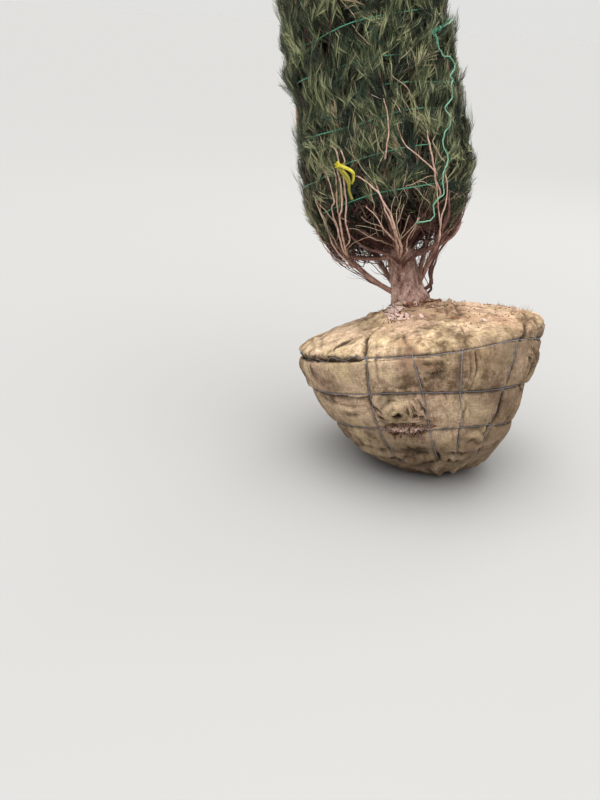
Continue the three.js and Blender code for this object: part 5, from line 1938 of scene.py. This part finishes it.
# Bands of the ribbon: width, curl, how far they face out, round and up, shade at both ends, and
# points round, up and out in mm. Two go round the limbs; then a knot, a loop, two tails, a knot
BANDS = [
    (0.011, 0, (0, 0, 1), (0.1, 0.1), [(-20, 8, -14), (-12, 7, 4), (4, 3, 8), (20, -2, -12)]),
    (0.010, 3, (0, 0, 1), (0.1, 0.1), [(-12, -4, -10), (-8, -2, 8), (8, 4, 8), (18, 6, -10)]),
    (0.010, 1, (1, 0, 0), (0.1, 0.1), [(-6, 12, 4), (0, 2, 14), (2, -10, 4)]),
    (0.011, 2, (1, 0, 0.5), (0.1, 0.55),
     [(0, 2, 10), (20, -4, 20), (46, -19, 16), (58, -35, 10), (54, -54, 8), (44, -68, 8)]),
    (0.010, 3, (1, 0, 0), (0.5, 0.95),
     [(2, 0, 10), (14, -20, 16), (30, -48, 14), (36, -70, 12), (35, -85, 10)]),
    (0.009, 4, (1, 0.4, 0), (0.6, 1.0),
     [(4, -2, 12), (26, -22, 20), (42, -52, 16), (36, -88, 14), (42, -120, 10)]),
    (0.009, 5, (1, 0, 0), (0.0, 0.0),
     [(-4, 4, 10), (6, 10, 16), (12, 0, 16), (4, -6, 12), (-4, 0, 10)]),
]


def make_ribbon():
    """Yellow tape tied round the two limbs at the left, with painted shade towards the ends of its tails.
    """
    tape = Paint("yellow_tape", (0.70, 0.58, 0.03), 0.42, 0.45)
    where = tape.coordinates()["Object"]
    crinkle = tape.noise(where, 130, 3)
    stops = [(0.35, (0.50, 0.42, 0.02)), (0.65, (0.88, 0.74, 0.03))]
    tone = tape.ramp(tape.noise(where, 60, 3), stops)
    # Painted shade: the tape darkens to olive where the shade attribute is high
    tone = tape.blend(tape.attribute("shade"), tone, (0.20, 0.185, 0.020))
    tape.finish(tone, crinkle, 0.5, 0.002)
    at = on_crown([math.radians(-123)], 0.486, 1.0)
    (out,), (east,) = outwards(at)
    parts, shades = [], []
    for width, curl, (forward, sideways, upward), shade, spots in BANDS:
        x, z, y = (np.array(spots) / 1000).T[..., None]
        points = at + east * x + UP * z + out * (0.004 + y)
        facing = out * forward + east * sideways + UP * upward
        parts.append((*ribbon_band(points, facing, width, curl), np.zeros((0, 3), int)))
        shades.append(np.repeat(np.linspace(*shade, BAND_STEPS), 6))
    verts, quads, _ = joined(parts)
    looks = {"shade": np.concatenate(shades)}
    return mesh_piece("yellow_ribbon", verts, [quads], tape.data, attributes=looks)


# Build it


def hand_over(piece, replaced=()):
    """Puts a piece on the root body, with the nodes that it replaces."""
    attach(piece, "root")
    if replaced:
        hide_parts(*replaced)


hand_over(make_wrap(), ["burlap_wrap"])
hand_over(make_soil(), ["root_ball_soil"])
hand_over(make_lacing(), ["burlap_lacing"])
hand_over(make_trunk(), ["trunk"])
for bough in BOUGHS:
    hand_over(make_bough(bough), [bough.node])
for name, plans, paint in (
    ("bare_limbs", BARE_LIMBS, TWIG_BARK),
    ("bare_stems", STEMS, STEM_BARK),
    ("dark_bare_limbs", DARK_LIMBS, DARK_BARK),
):
    hand_over(make_bare_limbs(name, plans, paint))
for twigs in make_twigs():
    hand_over(twigs)
MASSES = [*(bough.mass for bough in BOUGHS), "needles_tip"]
for piece in make_foliage():
    hand_over(piece, MASSES if piece.name == "needles_dark_1" else ())
for piece in [make_fibres(), *make_chips(), make_wraps(), *make_hanging(), make_ribbon()]:
    hand_over(piece)


# Studio


def place_object(name, data, axes, place):
    """An object at a place, its right, up and back axes given."""
    thing = bpy.data.objects.new(name, data)
    bpy.context.scene.collection.objects.link(thing)
    rows = [[*(axis[i] for axis in axes), place[i]] for i in range(3)]
    thing.matrix_world = Matrix([*rows, [0, 0, 0, 1]])
    return thing


def make_studio():
    """A pale floor under a soft sky, brightest overhead and as pale as the floor low down."""
    floor_paint = Paint("pale_floor", (0.40, 0.397, 0.390), 0.9, 0.1)
    bpy.ops.mesh.primitive_plane_add(size=240, location=(0, 0, 0))
    floor = bpy.context.object
    floor.name = "studio_floor"
    floor.data.materials.append(floor_paint.data)
    world = bpy.data.worlds.new("studio_light")
    world.use_nodes = True
    sky = Nodes(world.node_tree)
    way = sky.add("SeparateXYZ", {0: sky.add("TexCoord").outputs["Generated"]})
    stops = [
        (0.05, (0.184, 0.184, 0.181)), (0.16, (0.10, 0.10, 0.10)), (0.5, (0.15, 0.15, 0.15)),
        (0.8, (0.55, 0.548, 0.542)), (1.0, (1.0, 0.996, 0.985)),
    ]
    back = world.node_tree.nodes["Background"].inputs
    sky.put(sky.ramp(way.outputs[2], stops), back["Color"])
    sky.put(4.1, back["Strength"])
    bpy.context.scene.world = world
    bpy.context.scene.view_settings.view_transform = "Standard"
    for name, place, target, power in (
        ("front", (-2.6, -4.2, 4.6), (0, 0, 0.8), 45), ("back", (2.4, 4.6, 4.6), (0, 0, 1.2), 60)
    ):
        light = bpy.data.lights.new(name, "AREA")
        light.size = 2.5
        light.energy = power
        backwards = -unit(np.array(target) - np.array(place))
        right = unit(np.cross(UP, backwards))
        place_object(name, light, (right, np.cross(backwards, right), backwards), place)


def make_camera():
    """At the photograph's place: about 1.6 m up, 3 m away, looking down and tilted a little."""
    pitch, roll = math.radians(24), math.radians(3.9)
    right, ahead = np.array([1.0, 0, 0]), np.array([0, math.cos(pitch), -math.sin(pitch)])
    up = np.cross(right, ahead)
    rolled_right = math.cos(roll) * right + math.sin(roll) * up
    rolled_up = -math.sin(roll) * right + math.cos(roll) * up
    data = bpy.data.cameras.new("photo_camera")
    data.lens = 39.6
    data.sensor_width = 36
    data.clip_end = 200
    place = FOOT + np.array([-0.51, -3.03, 1.58])
    camera = place_object("photo_camera", data, (rolled_right, rolled_up, -ahead), place)
    bpy.context.scene.camera = camera


make_studio()
make_camera()
